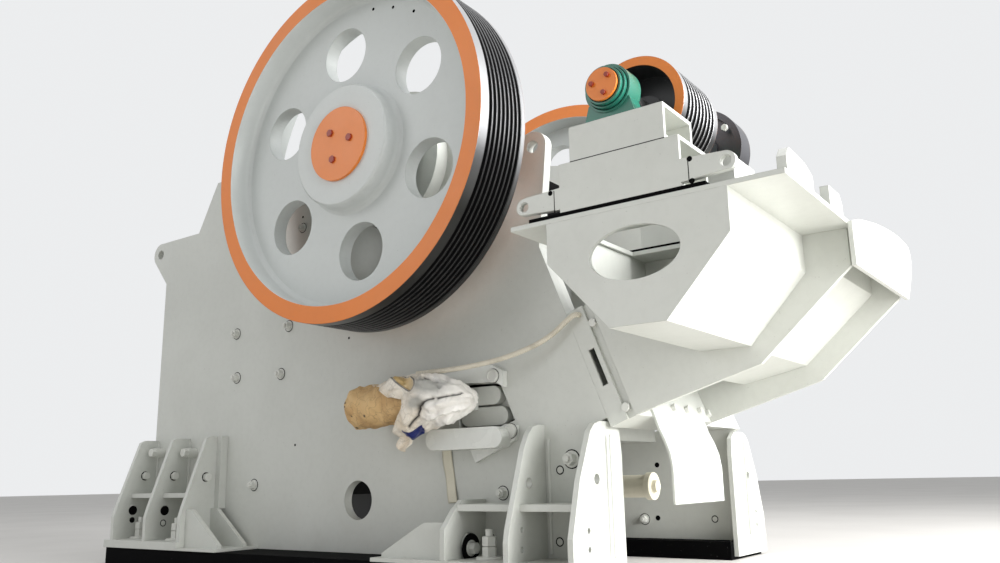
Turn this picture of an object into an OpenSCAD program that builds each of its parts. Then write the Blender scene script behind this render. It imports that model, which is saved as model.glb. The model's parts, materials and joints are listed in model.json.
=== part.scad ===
/* [Wheels] */
// Outside radius of both flywheels
wheel_r = 1050; // [950:10:1150]
// Width of each flywheel rim
wheel_w = 395; // [380:5:440]
// Radial width of the flat ring on the wheel's face
wheel_ring_w = 101; // [80:1:120]
// Depth of the web below the ring face
web_depth = 137; // [110:1:150]
// Thickness of the wheel web
web_t = 90; // [60:1:110]
// Radius of the raised hub boss
hub_r = 367; // [330:1:380]
// Depth of the hub face below the ring face
hub_depth = 30; // [20:1:60]
// Radius of the round lightening holes
web_hole_r = 170; // [120:1:185]
// Radius of the circle that the lightening holes sit on
web_hole_pitch_r = 634; // [620:1:680]
// Number of lightening holes
web_hole_count = 6; // [5:1:6]
// Direction of the first lightening hole, in degrees
web_hole_start = 97; // [0:1:120]
// Spacing of the belt grooves
groove_pitch = 37; // [30:1:38]
// Number of belt grooves
groove_count = 8; // [6:1:8]
// Depth of a belt groove
groove_depth = 26; // [18:1:30]
// Width of the smooth band beside the ring face
groove_land = 66; // [55:1:80]
// Gap between the wheel and the side plate
wheel_gap = 130; // [110:1:160]
// Radius of the round cap on the wheel hub
hub_cap_r = 221; // [180:1:240]
// Thickness of the hub cap
hub_cap_t = 17; // [12:1:25]

/* [Eccentric shaft] */
// Height of the eccentric shaft above the floor
axis_h = 2420; // [2400:10:2500]
// Radius of the shaft in its bearings and wheels
shaft_r = 150; // [130:1:165]
// Radius of the eccentric middle of the shaft
ecc_r = 195; // [190:1:205]
// Throw of the eccentric
ecc_throw = 20; // [12:1:24]
// Radial running clearance of a shaft in its bearing
run_gap = 0.05; // [0.02:0.01:0.08]
// Outside radius of the main bearing housings
housing_r = 400; // [360:1:440]
// Length that a bearing housing stands out from the side plate
housing_out = 95; // [70:1:100]

/* [Side plates] */
// Width of the crusher over its side plates
frame_w = 1760; // [1700:10:1900]
// Thickness of a side plate
plate_t = 60; // [40:1:70]
// Distance from the shaft to the front edge of a side plate
front_len = 2400; // [2350:10:2450]
// Distance from the shaft to the upright rear edge above the slope
rear_len = 1030; // [1010:5:1060]
// Distance from the shaft to the rear end of the base
base_rear = 1387; // [1350:1:1420]
// Depth of the low front top edge below the shaft
front_drop = 55; // [20:1:90]
// Height of the raised top edge above the shaft
hood_rise = 300; // [250:1:330]
// Depth below the shaft at which the rear slope starts
slope_top = 690; // [670:1:700]
// Depth below the shaft at which the rear slope ends
slope_bottom = 1617; // [1600:1:1630]
// Rearward reach of the rear slope at its lower end
slope_rear = 1396; // [1385:1:1410]
// Radius of the round inspection hole
peep_r = 113; // [90:1:125]
// Distance of the inspection hole in front of the shaft
peep_x = 300; // [270:1:330]
// Height of the inspection hole above the floor
peep_h = 410; // [390:1:430]
// Radius of a lifting eye
eye_r = 88; // [75:1:95]
// Radius of the hole in a lifting eye
eye_hole_r = 36; // [25:1:42]

/* [Feet] */
// Reach of a rear foot outwards from the side plate
foot_out = 345; // [330:1:360]
// Reach of a front foot outwards from the side plate
front_out = 310; // [295:1:325]
// Thickness of the foot gussets
foot_gusset_t = 30; // [20:1:40]
// Height of a front foot above its base plate
front_foot_h = 677; // [650:1:700]
// Height of a rear foot above its base plate
rear_foot_h = 623; // [600:1:650]
// Thickness of a foot's base plate
foot_base_t = 50; // [40:1:60]
// Thickness of the long black bed under each side
bed_t = 110; // [90:1:120]
// Distance between the gussets of a front foot
front_gusset_gap = 383; // [360:1:400]
// Distance between the gussets of a rear foot
rear_gusset_gap = 386; // [370:1:400]
// Radius of the anchor bolt holes
anchor_r = 22; // [15:1:26]
// Distance of an anchor hole from the side plate
anchor_out = 175; // [160:1:190]

/* [Motor bracket] */
// Gap between the small pulley and the outboard pedestal
pedestal_gap = 76; // [60:1:110]
// Inner end of the motor deck beyond the crusher's middle
deck_far = 250; // [220:1:280]
// Front edge of the motor deck, behind the shaft
deck_front = 1455; // [1430:1:1480]
// Rear edge of the motor deck, behind the shaft
deck_rear = 2627; // [2600:1:2680]
// Depth of the deck's top below the shaft
deck_drop = 860; // [840:1:880]
// Thickness of the deck plate
deck_t = 20; // [15:1:30]
// Thickness of the bracket's gusset plates
bracket_t = 30; // [20:1:40]
// Thickness of the folded pan plates
pan_t = 14; // [10:1:20]
// Length of the oval hole in the outboard plate
oval_l = 390; // [340:1:420]
// Height of the oval hole in the outboard plate
oval_h = 214; // [180:1:230]
// Thickness of the slotted beam that the bracket is bolted to
beam_t = 100; // [90:1:110]
// Thickness of the bracket's mounting plate
mount_t = 44; // [30:1:50]

/* [Countershaft] */
// Distance of the countershaft behind the eccentric shaft
counter_x = 1896; // [1880:1:1920]
// Depth of the countershaft below the eccentric shaft
counter_drop = 310; // [300:1:330]
// Radius of the countershaft
counter_r = 50; // [40:1:55]
// Outside radius of the small grooved pulley
pulley_r = 236; // [225:1:245]
// Radial width of the flat ring on the pulley's face
pulley_ring_w = 42; // [35:1:50]
// Width of the small grooved pulley
pulley_w = 370; // [366:1:380]
// Outside radius of a pillow block's housing
pillow_r = 106; // [100:1:114]
// Width of a pillow block
pillow_w = 180; // [160:1:190]
// Radius of the round cap on the countershaft's end
counter_cap_r = 72; // [62:1:80]
// Length of the upper pedestal box
upper_l = 425; // [410:1:440]
// Height of the upper pedestal box
upper_h = 150; // [145:1:156]
// Length of the lower pedestal box
lower_l = 535; // [520:1:550]
// Width of the pedestal boxes, across the machine
pedestal_w = 270; // [260:1:290]

/* [Crushing chamber] */
// Length of the feed opening at the top, between the jaws
gape = 1190; // [1120:10:1230]
// Height of one jaw plate tooth
tooth_h = 40; // [30:1:50]
// Spacing of the jaw plate teeth
tooth_pitch = 100; // [90:1:125]
// Thickness of the loose cheek plates on the side walls
cheek_t = 45; // [35:1:55]
// Thickness of the toggle plate
toggle_t = 90; // [70:1:100]

/* [Hidden] */
$fn = 96;

// Clearance where two pieces of the frame meet round a curve
seat_gap = 0.3;
// Free gap kept round what turns
free_gap = 15;

steel = "#c3c6c0";
orange = "#e8722a";
dark = "#2a2a2a";
bright = "#c9ccce";
green = "#2c7a66";

side_y = frame_w / 2;
inner_y = side_y - plate_t;
ring_face_y = side_y + wheel_gap + wheel_w;
wheel_back_y = side_y + wheel_gap;
ring_inner_r = wheel_r - wheel_ring_w;
shaft_end_y = ring_face_y - hub_depth;
plate_drop = axis_h - bed_t;
foot_base_top = bed_t + foot_base_t;
foot_base_drop = axis_h - foot_base_top;
front_anchor_x = -1815;
rear_anchor_x = 796;
shaft_x = -(front_anchor_x + rear_anchor_x) / 2;
deck_near = ring_face_y + pedestal_gap + pedestal_w;
deck_top = axis_h - deck_drop;
deck_under = deck_top - deck_t;
jaw_half = inner_y - cheek_t - free_gap;

// Extrudes an outline drawn in X and Z from y0 towards +Y
module xz_plate(points, y0, t) {
    translate([shaft_x, y0 + t, 0])
        rotate([90, 0, 0])
            linear_extrude(t)
                polygon(points);
}

// Extrudes an outline drawn in Y and Z from x0 towards +X
module yz_plate(points, x0, t) {
    translate([shaft_x + x0, 0, 0])
        rotate([90, 0, 90])
            linear_extrude(t)
                polygon(points);
}

// A cylinder along +Y that starts at y0
module y_rod(x, y0, z, r, l) {
    translate([shaft_x + x, y0, z])
        rotate([-90, 0, 0])
            cylinder(r = r, h = l);
}

// A cylinder along +X that starts at x0
module x_rod(x0, y, z, r, l) {
    translate([shaft_x + x0, y, z])
        rotate([0, 90, 0])
            cylinder(r = r, h = l);
}

// A block with its corner at x, y and z
module block(x, y, z, l, w, h) {
    translate([shaft_x + x, y, z])
        cube([l, w, h]);
}

// Makes the far one of a pair from the near one
module far_side() {
    mirror([0, 1, 0])
        children();
}

// Shifts heights that are measured from the shaft
function below(points) = [for (p = points) [p[0], axis_h + p[1]]];

// Shifts an outline along X
function shifted(dx, points) = [for (p = points) [p[0] + dx, p[1]]];

// Points on an arc, from angle a0 to a1
function arc(cx, cz, r, a0, a1, n) =
    [for (i = [0:n]) [cx + r * cos(a0 + (a1 - a0) * i / n), cz + r * sin(a0 + (a1 - a0) * i / n)]];

// Side plates
front_eye_x = -(front_len + 99);
front_eye_z = -(front_drop + eye_r);
rear_eye_x = rear_len - 25;
rear_eye_z = -112;
window = [[443, -1387], [753, -1400], [846, -1602], [748, -1639], [476, -1636]];

// Rear slope at a depth below the shaft, moved back by t
beam_down = 50;
slope_angle = atan2(slope_rear - rear_len, slope_bottom - slope_top);
function slope_x(drop) = rear_len + (drop - slope_top) * tan(slope_angle);
function slope_point(drop, t) = [slope_x(drop) + t * cos(slope_angle), -drop + t * sin(slope_angle)];

// Places its children on the rear slope, with X standing out from it and Z running up it
module on_slope(drop) {
    translate([shaft_x + slope_x(drop), 0, axis_h - drop])
        rotate([0, -slope_angle, 0])
            children();
}

end_plate_x = base_rear - foot_gusset_t;
function side_outline() = below(concat(
        [[end_plate_x, -plate_drop], [end_plate_x, -slope_bottom - 20], [slope_rear, -slope_bottom],
            [rear_len, -slope_top]],
        arc(rear_eye_x, rear_eye_z, eye_r, 0, 150, 16),
        [[540, 60], [520, 300]],
        arc(0, 0, housing_r + 90, 30, 150, 20),
        [[-520, hood_rise], [-1820, hood_rise], [-2021, -front_drop]],
        arc(front_eye_x, front_eye_z, eye_r, 90, 215, 16),
        [[-front_len, -390], [-front_len, -plate_drop]]));

module side_plate() {
    difference() {
        xz_plate(side_outline(), -side_y, plate_t);
        y_rod(0, -side_y - 1, axis_h, housing_r - 80 + seat_gap, plate_t + 2);
        y_rod(-peep_x, -side_y - 1, peep_h, peep_r, plate_t + 2);
        y_rod(front_eye_x, -side_y - 1, axis_h + front_eye_z, eye_hole_r, plate_t + 2);
        y_rod(rear_eye_x, -side_y - 1, axis_h + rear_eye_z, eye_hole_r, plate_t + 2);
        xz_plate(below(window), -side_y - 1, plate_t + 2);
    }
}

module side_plate_near() color(steel) side_plate();
module side_plate_far() color(steel) far_side() side_plate();

// Front wall with its cross ribs
wall_top = [-2090, -80];
wall_foot = [-1560, -2000];
wall_t = 90;
module front_wall() {
    color(steel) {
        xz_plate(below([wall_top, wall_foot, [wall_foot[0] - wall_t, wall_foot[1]],
            [wall_top[0] - wall_t, wall_top[1]]]), -inner_y, 2 * inner_y);
        for (drop = [100, 560, 1020, 1480, 1940])
            front_rib(drop);
        for (y = [-inner_y * 0.5, 0, inner_y * 0.5])
            xz_plate(below([[-front_len + 20, -100], [wall_x(100) - wall_t + 5, -100],
                [wall_x(1980) - wall_t + 5, -1980], [-front_len + 20, -1980]]), y - 20, 40);
    }
}

// Back face of the front wall at a depth below the shaft
wall_tilt = (wall_foot[0] - wall_top[0]) / (wall_top[1] - wall_foot[1]);
function wall_x(drop) = wall_top[0] + wall_tilt * (drop + wall_top[1]);

module front_rib(drop) {
    x1 = wall_x(drop) - wall_t + 5;
    block(-front_len + 20, -inner_y, axis_h - drop - 25, x1 + front_len - 20, 2 * inner_y, 50);
}

// Rear wall between the side plates, along the rear slope
rear_wall_t = 60;
rear_shelf_t = 50;
rear_shelf_x = 700;
rear_foot_x = 1120;
rear_inner_x = slope_x(slope_bottom - rear_shelf_t) - rear_wall_t;
rear_wall_profile = [[rear_shelf_x, rear_shelf_t - slope_top], [rear_len, rear_shelf_t - slope_top],
    [rear_len, -slope_top], [slope_rear, -slope_bottom], [rear_foot_x, -slope_bottom],
    [rear_foot_x, rear_shelf_t - slope_bottom], [rear_inner_x, rear_shelf_t - slope_bottom],
    [rear_len - rear_wall_t, -slope_top], [rear_shelf_x, -slope_top]];
rear_rib = [[900, -660], [1010, -660], [slope_x(1590) - 25, -1590], [1150, -1590], [1150, -1350],
    [900, -900]];
// The wall is open above the toggle, between two strips along the plates
rear_window_in = 60;
rear_window_low = 1090;
rear_window_h = 350;
module rear_wall() {
    color(steel) {
        difference() {
            xz_plate(below(rear_wall_profile), -inner_y, 2 * inner_y);
            block(rear_len - 200, rear_window_in - inner_y, axis_h - rear_window_low, 600,
                2 * (inner_y - rear_window_in), rear_window_h);
        }
        for (y = [-inner_y * 0.4, inner_y * 0.4])
            xz_plate(below(rear_rib), y - 20, 40);
    }
}

// Jaw plates with their upright teeth
jaw_plate_t = 60;
jaw_plate_l = 1640;
function plate_reach(lean) = (jaw_plate_t + tooth_h) / cos(lean);

function teeth(half, base) = concat([[-half, 0]],
    [for (i = [0:floor(2 * half / tooth_pitch) - 1])
        each [[-half + i * tooth_pitch, base],
              [-half + (i + 0.25) * tooth_pitch, base + tooth_h],
              [-half + (i + 0.5) * tooth_pitch, base + tooth_h],
              [-half + (i + 0.75) * tooth_pitch, base]]],
    [[half, base], [half, 0]]);

// A toothed plate that leans: it starts at a point and rises along the angle
module toothed_plate(foot_x, foot_drop, lean, l, flip) {
    translate([shaft_x + foot_x, 0, axis_h - foot_drop])
        rotate([0, lean, 0])
            rotate([0, 0, flip ? 90 : -90])
                linear_extrude(l)
                    polygon(teeth(jaw_half, jaw_plate_t));
}

wall_lean = -atan2(wall_foot[0] - wall_top[0], wall_top[1] - wall_foot[1]);
module fixed_jaw() {
    color("#8d8f90")
        toothed_plate(wall_x(1740), 1740, wall_lean, jaw_plate_l, false);
}

jaw_front_foot = [-1130, -1640];
jaw_front_top = [wall_x(-20) + plate_reach(15) + gape + plate_reach(15), 20];
jaw_lean = -atan2(jaw_front_foot[0] - jaw_front_top[0], jaw_front_top[1] - jaw_front_foot[1]);
toggle_front = [-740, -1610];
toggle_rear = [470, -1530];
rod_drop = 1960;
rod_pin_x = -800;
rod_pin_r = 30;
module swing_jaw() {
    color(steel)
        difference() {
            union() {
                y_rod(0, -jaw_half, axis_h, 330, 2 * jaw_half);
                xz_plate(below([[-250, 215], jaw_front_top, jaw_front_foot, [-1100, -1720], [-800, -1740],
                    toggle_front, [-560, -1100], [-330, -420], [-60, -320]]), -jaw_half, 2 * jaw_half);
                for (y = [-85, 45])
                    xz_plate(below([[-880, -1700], [-760, -1700], [-730, -rod_drop - 60],
                        [-870, -rod_drop - 60]]), y, 40);
            }
            y_rod(rod_pin_x, -100, axis_h - rod_drop, rod_pin_r + seat_gap, 200);
            y_rod(0, -jaw_half - 1, axis_h, ecc_r + ecc_throw + 6, 2 * jaw_half + 2);
            y_rod(toggle_front[0], -jaw_half - 1, axis_h + toggle_front[1], toggle_t / 2 + seat_gap,
                2 * jaw_half + 2);
            for (y = [-480, -160, 160, 480])
                xz_plate(below([[-480, -480], [-700, -480], [-900, -1400], [-640, -1400]]), y - 110, 220);
        }
}

module swing_jaw_liner() {
    color("#8d8f90")
        toothed_plate(jaw_front_foot[0] - seat_gap, -jaw_front_foot[1], jaw_lean, jaw_plate_l, true);
}

// Loose cheek plates on the inside of the side walls
cheek_outline = [[-1880, -120], [-1560, -1240], [-1280, -1240], [-990, -120]];
module cheek_plates() {
    for (s = [0, 1])
        mirror([0, s, 0])
            color("#8d8f90")
                xz_plate(below(cheek_outline), -inner_y, cheek_t);
}

// Toggle plate, its beam and the tension rod
module toggle_plate() {
    color("#8d8f90") {
        y_rod(toggle_front[0], -600, axis_h + toggle_front[1], toggle_t / 2, 1200);
        y_rod(toggle_rear[0], -600, axis_h + toggle_rear[1], toggle_t / 2, 1200);
        xz_plate(below([[toggle_front[0], toggle_front[1] - 30], [toggle_rear[0], toggle_rear[1] - 30],
            [toggle_rear[0], toggle_rear[1] + 30], [toggle_front[0], toggle_front[1] + 30]]), -600, 1200);
    }
}

beam_rear = 820;
module toggle_beam() {
    color(steel)
        difference() {
            union() {
                xz_plate(below([[toggle_rear[0], -1680], [beam_rear, -1680], [beam_rear, -1400],
                    [toggle_rear[0], -1400]]), -inner_y, 2 * inner_y);
                block(beam_rear - 50, -200, axis_h - rod_drop - 120, 50, 400, rod_drop + 120 - 1679);
            }
            y_rod(toggle_rear[0], -inner_y - 1, axis_h + toggle_rear[1], toggle_t / 2 + seat_gap,
                2 * inner_y + 2);
            x_rod(beam_rear - 51, 0, axis_h - rod_drop, 50, 52);
        }
}

module tension_rod() {
    color(bright) {
        y_rod(rod_pin_x, -100, axis_h - rod_drop, rod_pin_r, 200);
        y_rod(rod_pin_x, -42, axis_h - rod_drop, 62, 84);
        x_rod(rod_pin_x, 0, axis_h - rod_drop, 34, beam_rear - rod_pin_x + 400);
        x_rod(beam_rear, 0, axis_h - rod_drop, 64, 340);
        x_rod(beam_rear + 340, 0, axis_h - rod_drop, 78, 36);
    }
}

// Main bearing housings
module bearing_housing() {
    color(steel)
        difference() {
            union() {
                y_rod(0, -side_y - housing_out, axis_h, housing_r, housing_out);
                y_rod(0, -side_y, axis_h, housing_r - 80, plate_t + 25);
            }
            y_rod(0, -side_y - housing_out - 1, axis_h, shaft_r + run_gap, housing_out + plate_t + 27);
        }
}
module bearing_housing_near() bearing_housing();
module bearing_housing_far() far_side() bearing_housing();

// Eccentric shaft
ecc_half = inner_y - 45;
module eccentric_shaft() {
    color(bright) {
        y_rod(0, -shaft_end_y + seat_gap, axis_h, shaft_r, 2 * (shaft_end_y - seat_gap));
        y_rod(ecc_throw, -ecc_half, axis_h, ecc_r, 2 * ecc_half);
    }
}

// Grooved rim outline, from the ring face backwards
function rim_grooves(r) = [for (i = [0:groove_count - 1]) each [
    [r, groove_land + i * groove_pitch + 5],
    [r - groove_depth, groove_land + i * groove_pitch + 12],
    [r - groove_depth, groove_land + (i + 1) * groove_pitch - 12],
    [r, groove_land + (i + 1) * groove_pitch - 5]]];

hub_back = wheel_w - 20;
function wheel_outline(grooves) = concat(
    [[shaft_r + run_gap, hub_depth], [hub_r - 12, hub_depth], [hub_r, hub_depth + 12],
     [hub_r, web_depth - 30], [hub_r + 9, web_depth - 9], [hub_r + 30, web_depth],
     [ring_inner_r - 30, web_depth], [ring_inner_r - 9, web_depth - 9], [ring_inner_r, web_depth - 30],
     [ring_inner_r, 0], [wheel_r, 0]],
    grooves,
    [[wheel_r, wheel_w], [ring_inner_r, wheel_w], [ring_inner_r, web_depth + web_t],
     [hub_r - 60, web_depth + web_t], [hub_r - 80, hub_back], [shaft_r + run_gap, hub_back]]);

module wheel(grooves) {
    difference() {
        y_turned(0, -ring_face_y, axis_h)
            polygon(wheel_outline(grooves));
        for (i = [0:web_hole_count - 1])
            let (a = web_hole_start - i * 360 / web_hole_count)
                y_rod(web_hole_pitch_r * cos(a), -ring_face_y + web_depth - 1,
                    axis_h + web_hole_pitch_r * sin(a), web_hole_r, web_t + 2);
    }
}

// Turns a radius and depth outline about a line along +Y
module y_turned(x, y, z) {
    translate([shaft_x + x, y, z])
        rotate([-90, 0, 0])
            rotate_extrude($fn = 180)
                children();
}

module drive_wheel() color(steel) wheel(rim_grooves(wheel_r));
module balance_wheel() color(steel) far_side() wheel([]);

module wheel_cap() {
    color(orange)
        y_rod(0, -ring_face_y + hub_depth - hub_cap_t, axis_h, hub_cap_r, hub_cap_t);
}
module wheel_cap_near() wheel_cap();
module wheel_cap_far() far_side() wheel_cap();

// Feet. A gusset's outline is drawn outwards from the side plate and upwards from the foot's base plate
function foot_points(points) = [for (p = points) [-side_y - p[0], foot_base_top + p[1]]];
function foot_side(x, points) = [for (p = points) [x + p[0], foot_base_top + p[1]]];
foot_edge_in = 40;
foot_rib_in = 80;
end_front = -2389;
front_gussets = [end_front, end_front + front_gusset_gap, end_front + 2 * front_gusset_gap];
front_outline = foot_points([[0, front_foot_h], [100, front_foot_h], [138, front_foot_h - 17],
    [front_out - 17, 213], [front_out, 150], [front_out, 0], [0, 0]]);
thin_base_t = 15;
thin_base_l = 400;
thin_drop = foot_base_t - thin_base_t;
front_slope = foot_side(front_gussets[2] + foot_gusset_t, [[0, 202], [60, 202], [350, 20 - thin_drop],
    [350, -thin_drop], [0, -thin_drop]]);
foot_bar_w = 45;
foot_bar_out = 55;
front_shelf_h = 275;
front_shelf_out = 190;
front_hole_h = 194;
module front_foot() {
    difference() {
        union() {
            for (x = front_gussets)
                yz_plate(front_outline, x, foot_gusset_t);
            block(end_front - 40, -side_y - front_out - 20, bed_t,
                2 * front_gusset_gap + foot_gusset_t + 40, front_out + 20, foot_base_t);
            block(front_gussets[2], -side_y - front_out - 20, bed_t, foot_gusset_t + thin_base_l,
                front_out + 20, thin_base_t);
            block(front_gussets[2] + foot_gusset_t, -side_y - foot_bar_out, foot_base_top + 200, foot_bar_w,
                foot_bar_out, front_foot_h - 200);
            for (i = [0, 1])
                block(front_gussets[i] + foot_gusset_t, -side_y - front_shelf_out,
                    foot_base_top + front_shelf_h, front_gusset_gap - foot_gusset_t, front_shelf_out, 30);
            for (out = [front_out - foot_edge_in, foot_rib_in])
                xz_plate(front_slope, -side_y - out, foot_gusset_t);
        }
        anchor_hole(front_anchor_x);
        for (i = [0, 1])
            x_rod(front_gussets[i] - 1, -side_y - 171, foot_base_top + front_hole_h, 32, foot_gusset_t + 2);
    }
}

// Hole for one anchor bolt, through the foot and the bed
module anchor_hole(x) {
    translate([shaft_x + x, -side_y - anchor_out, -1])
        cylinder(r = anchor_r, h = foot_base_top + 2);
}

rear_gussets = [614, 614 + rear_gusset_gap, end_plate_x];
rear_base_t = 20;
rear_drop = foot_base_t - rear_base_t;
end_drop = foot_base_top - 20;
rear_outline = foot_points([[0, rear_foot_h], [60, rear_foot_h], [112, rear_foot_h - 15],
    [150, rear_foot_h - 53], [193, rear_foot_h - 127], [foot_out - 13, 122], [foot_out, 60],
    [foot_out, -rear_drop], [0, -rear_drop]]);
low_outline = foot_points([[0, 256], [195, 256], [260, 209], [foot_out, 116], [foot_out, -rear_drop],
    [0, -rear_drop]]);
end_outline = foot_points([[-150, rear_foot_h - 153], [-135, rear_foot_h - 43], [-75, rear_foot_h],
    [60, rear_foot_h], [112, rear_foot_h - 15], [155, rear_foot_h - 53], [265, 346], [foot_out, 87],
    [foot_out, -end_drop], [-150, -end_drop]]);
rear_slope = foot_side(rear_gussets[0], [[0, 148], [0, -rear_drop], [-430, -rear_drop],
    [-430, 20 - rear_drop], [-140, 148]]);
low_hole_r = 58;
rear_shelf_h = 202;
rear_holes = [[155, 335], [226, 117], [228, 25], [108, 348], [202, 117], [200, 33]];
module rear_foot() {
    difference() {
        union() {
            yz_plate(low_outline, rear_gussets[0], foot_gusset_t);
            yz_plate(rear_outline, rear_gussets[1], foot_gusset_t);
            yz_plate(end_outline, rear_gussets[2], foot_gusset_t);
            block(150, -side_y - foot_out - 10, bed_t, base_rear - 150, foot_out + 10, rear_base_t);
            for (i = [0, 1])
                block(rear_gussets[i] + foot_gusset_t, -side_y - 240, foot_base_top + rear_shelf_h,
                    rear_gussets[i + 1] - rear_gussets[i] - foot_gusset_t, 240, 34);
            for (out = [foot_out - foot_edge_in, foot_rib_in])
                xz_plate(rear_slope, -side_y - out, foot_gusset_t);
        }
        anchor_hole(rear_anchor_x);
        x_rod(rear_gussets[0] - 1, -side_y - 150, foot_base_top + 36, low_hole_r, foot_gusset_t + 2);
        for (i = [0:5])
            x_rod(rear_gussets[i < 3 ? 1 : 2] - 1, -side_y - rear_holes[i][0],
                foot_base_top + rear_holes[i][1], i % 3 == 0 ? 26 : 14, foot_gusset_t + 2);
    }
}

module front_foot_near() color(steel) front_foot();
module front_foot_far() color(steel) far_side() front_foot();
module rear_foot_near() color(steel) rear_foot();
module rear_foot_far() color(steel) far_side() rear_foot();

bed_front = end_front - 20;
bed_out = front_out + 10;
bed_in = 200;
module bed() {
    difference() {
        block(bed_front, -side_y - bed_out, 0, end_plate_x - seat_gap - bed_front, bed_out + bed_in, bed_t);
        anchor_hole(front_anchor_x);
        anchor_hole(rear_anchor_x);
    }
}
module bed_near() color(dark) bed();
module bed_far() color(dark) far_side() bed();

// Motor deck and the bracket under it
gusset_y = [-side_y, 45];
outboard = [[1634, -895], [2415, -895], [2415, -1066], [2140, -1345], [1897, -1345], [1634, -1062]];
// Moves an outline's points inwards by t; the points run clockwise
function unit(v) = v / norm(v);
function side_normal(a, b) = let (d = unit(b - a)) [d[1], -d[0]];
function inset(p, t) = [for (i = [0:len(p) - 1])
    let (m = side_normal(p[(i + len(p) - 1) % len(p)], p[i]), q = side_normal(p[i], p[(i + 1) % len(p)]))
        p[i] + t * (m + q) / (1 + m * q)];

near_pedestal_y = -deck_near;
inner_pedestal_y = pulley_w + free_gap - ring_face_y;
deck_hole_x = 1664;
deck_hole_l = 700;
deck_hole_y = near_pedestal_y + pedestal_w + 20;
module motor_deck() {
    color(steel)
        difference() {
            block(deck_front, -deck_near, deck_under, deck_rear - deck_front, deck_near + deck_far, deck_t);
            block(deck_hole_x, deck_hole_y, deck_under - 1, deck_hole_l, inner_pedestal_y - 20 - deck_hole_y,
                deck_t + 2);
        }
}

// Face of the mounting plate that the gussets and the guard seat on
mount_face = beam_t + mount_t + seat_gap;
gusset_top = 1060;
gusset_front = 1560;
bracket_outline = concat([slope_point(gusset_top, mount_face), [gusset_front, -deck_drop - deck_t - 40],
    [gusset_front, -deck_drop - deck_t], [deck_rear - 22, -deck_drop - deck_t], [deck_rear - 22, -1045],
    [2184, -1426]], [slope_point(slope_bottom + beam_down, mount_face)]);
module bracket_gusset(y) {
    color(steel)
        xz_plate(below(bracket_outline), y, bracket_t);
}
module bracket_gusset_near() bracket_gusset(-side_y);
module bracket_gusset_mid() bracket_gusset(45);

module outboard_pan() {
    color(steel)
        difference() {
            xz_plate(below(outboard_outline), -deck_near + 20, deck_near - side_y - 20);
            xz_plate(below(inset(outboard_outline, pan_t)), -deck_near + 19, deck_near - side_y - 18);
            block(outboard_x + pan_t, -deck_near + 19, deck_under - pan_t - 1, outboard_l - 2 * pan_t,
                deck_near - side_y - 18, pan_t + 2);
        }
}
outboard_x = 1634;
outboard_l = 781;
outboard_h = 465;
outboard_side = 170;
outboard_foot = 243;
outboard_slant = (outboard_l - outboard_foot) / 2;
outboard_outline = [[outboard_x, -deck_drop - deck_t], [outboard_x + outboard_l, -deck_drop - deck_t],
    [outboard_x + outboard_l, -deck_drop - deck_t - outboard_side],
    [outboard_x + outboard_l - outboard_slant, -deck_drop - deck_t - outboard_h],
    [outboard_x + outboard_slant, -deck_drop - deck_t - outboard_h],
    [outboard_x, -deck_drop - deck_t - outboard_side]];

module outboard_plate() {
    color(steel)
        difference() {
            xz_plate(below(outboard_outline), -deck_near, 20);
            xz_plate([for (a = [0:6:354]) [outboard_x + outboard_l / 2 + oval_l / 2 * cos(a),
                axis_h - 1063 + oval_h / 2 * sin(a)]], -deck_near - 1, 22);
        }
}

inner_outline = [[1660, -deck_drop - deck_t], [deck_rear - 150, -deck_drop - deck_t],
    [deck_rear - 150, -1010], [2110, -1345], [1760, -1420]];
module inner_pan() {
    color(steel)
        difference() {
            xz_plate(below(inner_outline), -side_y + bracket_t, side_y - bracket_t + 45);
            xz_plate(below(inset(inner_outline, pan_t)), -side_y + bracket_t - 1, side_y - bracket_t + 47);
        }
}

// Hollow beam along the rear slope, with a slot in its near end
beam_wall = 16;
beam_l = 630;
beam_far = 45 + bracket_t;
slot_w = 34;
slot_l = 200;
slot_low = 200;
slot_mid = 58;
module slotted_beam() {
    color(steel)
        on_slope(slope_bottom + beam_down)
            difference() {
                translate([seat_gap, -side_y, 0])
                    cube([beam_t - seat_gap, side_y + beam_far, beam_l]);
                translate([beam_wall, beam_wall - side_y, beam_wall])
                    cube([beam_t - 2 * beam_wall, side_y + beam_far - 2 * beam_wall, beam_l - 2 * beam_wall]);
                translate([slot_mid - slot_w / 2, -side_y - 1, slot_low])
                    cube([slot_w, beam_wall + 2, slot_l]);
            }
}

mount_inset = 18;
module mounting_plate() {
    color(steel)
        on_slope(slope_bottom + beam_down)
            translate([beam_t, mount_inset - side_y, 0])
                cube([mount_t, side_y + beam_far - mount_inset, beam_l]);
}

// Pedestals, pillow blocks and the countershaft
pillow_axis_h = 176;
pedestal_x = 1972;
pad_t = 16;
lower_h = deck_drop - counter_drop - pillow_axis_h - upper_h - pad_t;
box_wall = 16;

// A box that is open at both ends and has two cross ribs
module open_box(x, y, z, l, h) {
    difference() {
        block(x - l / 2, y, z, l, pedestal_w, h);
        for (x0 = [x - l / 2 - 1, x + 61])
            block(x0, y + box_wall, z + box_wall, l / 2 - 60, pedestal_w - 2 * box_wall, h - 2 * box_wall);
    }
}

lug_h = deck_top + pad_t + lower_h - 148;
lug_reach = 178;
lug_r = 38;
lug_t = 28;
lug_hole_r = 22;
module pulling_lug(x, y, s) {
    difference() {
        xz_plate(concat([[x, deck_top + pad_t + lower_h - 100], [x, deck_top + pad_t + 15]],
            [for (a = [-60:15:90]) [x + s * (lug_reach + lug_r * cos(a)), lug_h + lug_r * sin(a)]]),
            y, lug_t);
        y_rod(x + s * lug_reach, y - 1, lug_h, lug_hole_r, lug_t + 2);
    }
}

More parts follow.
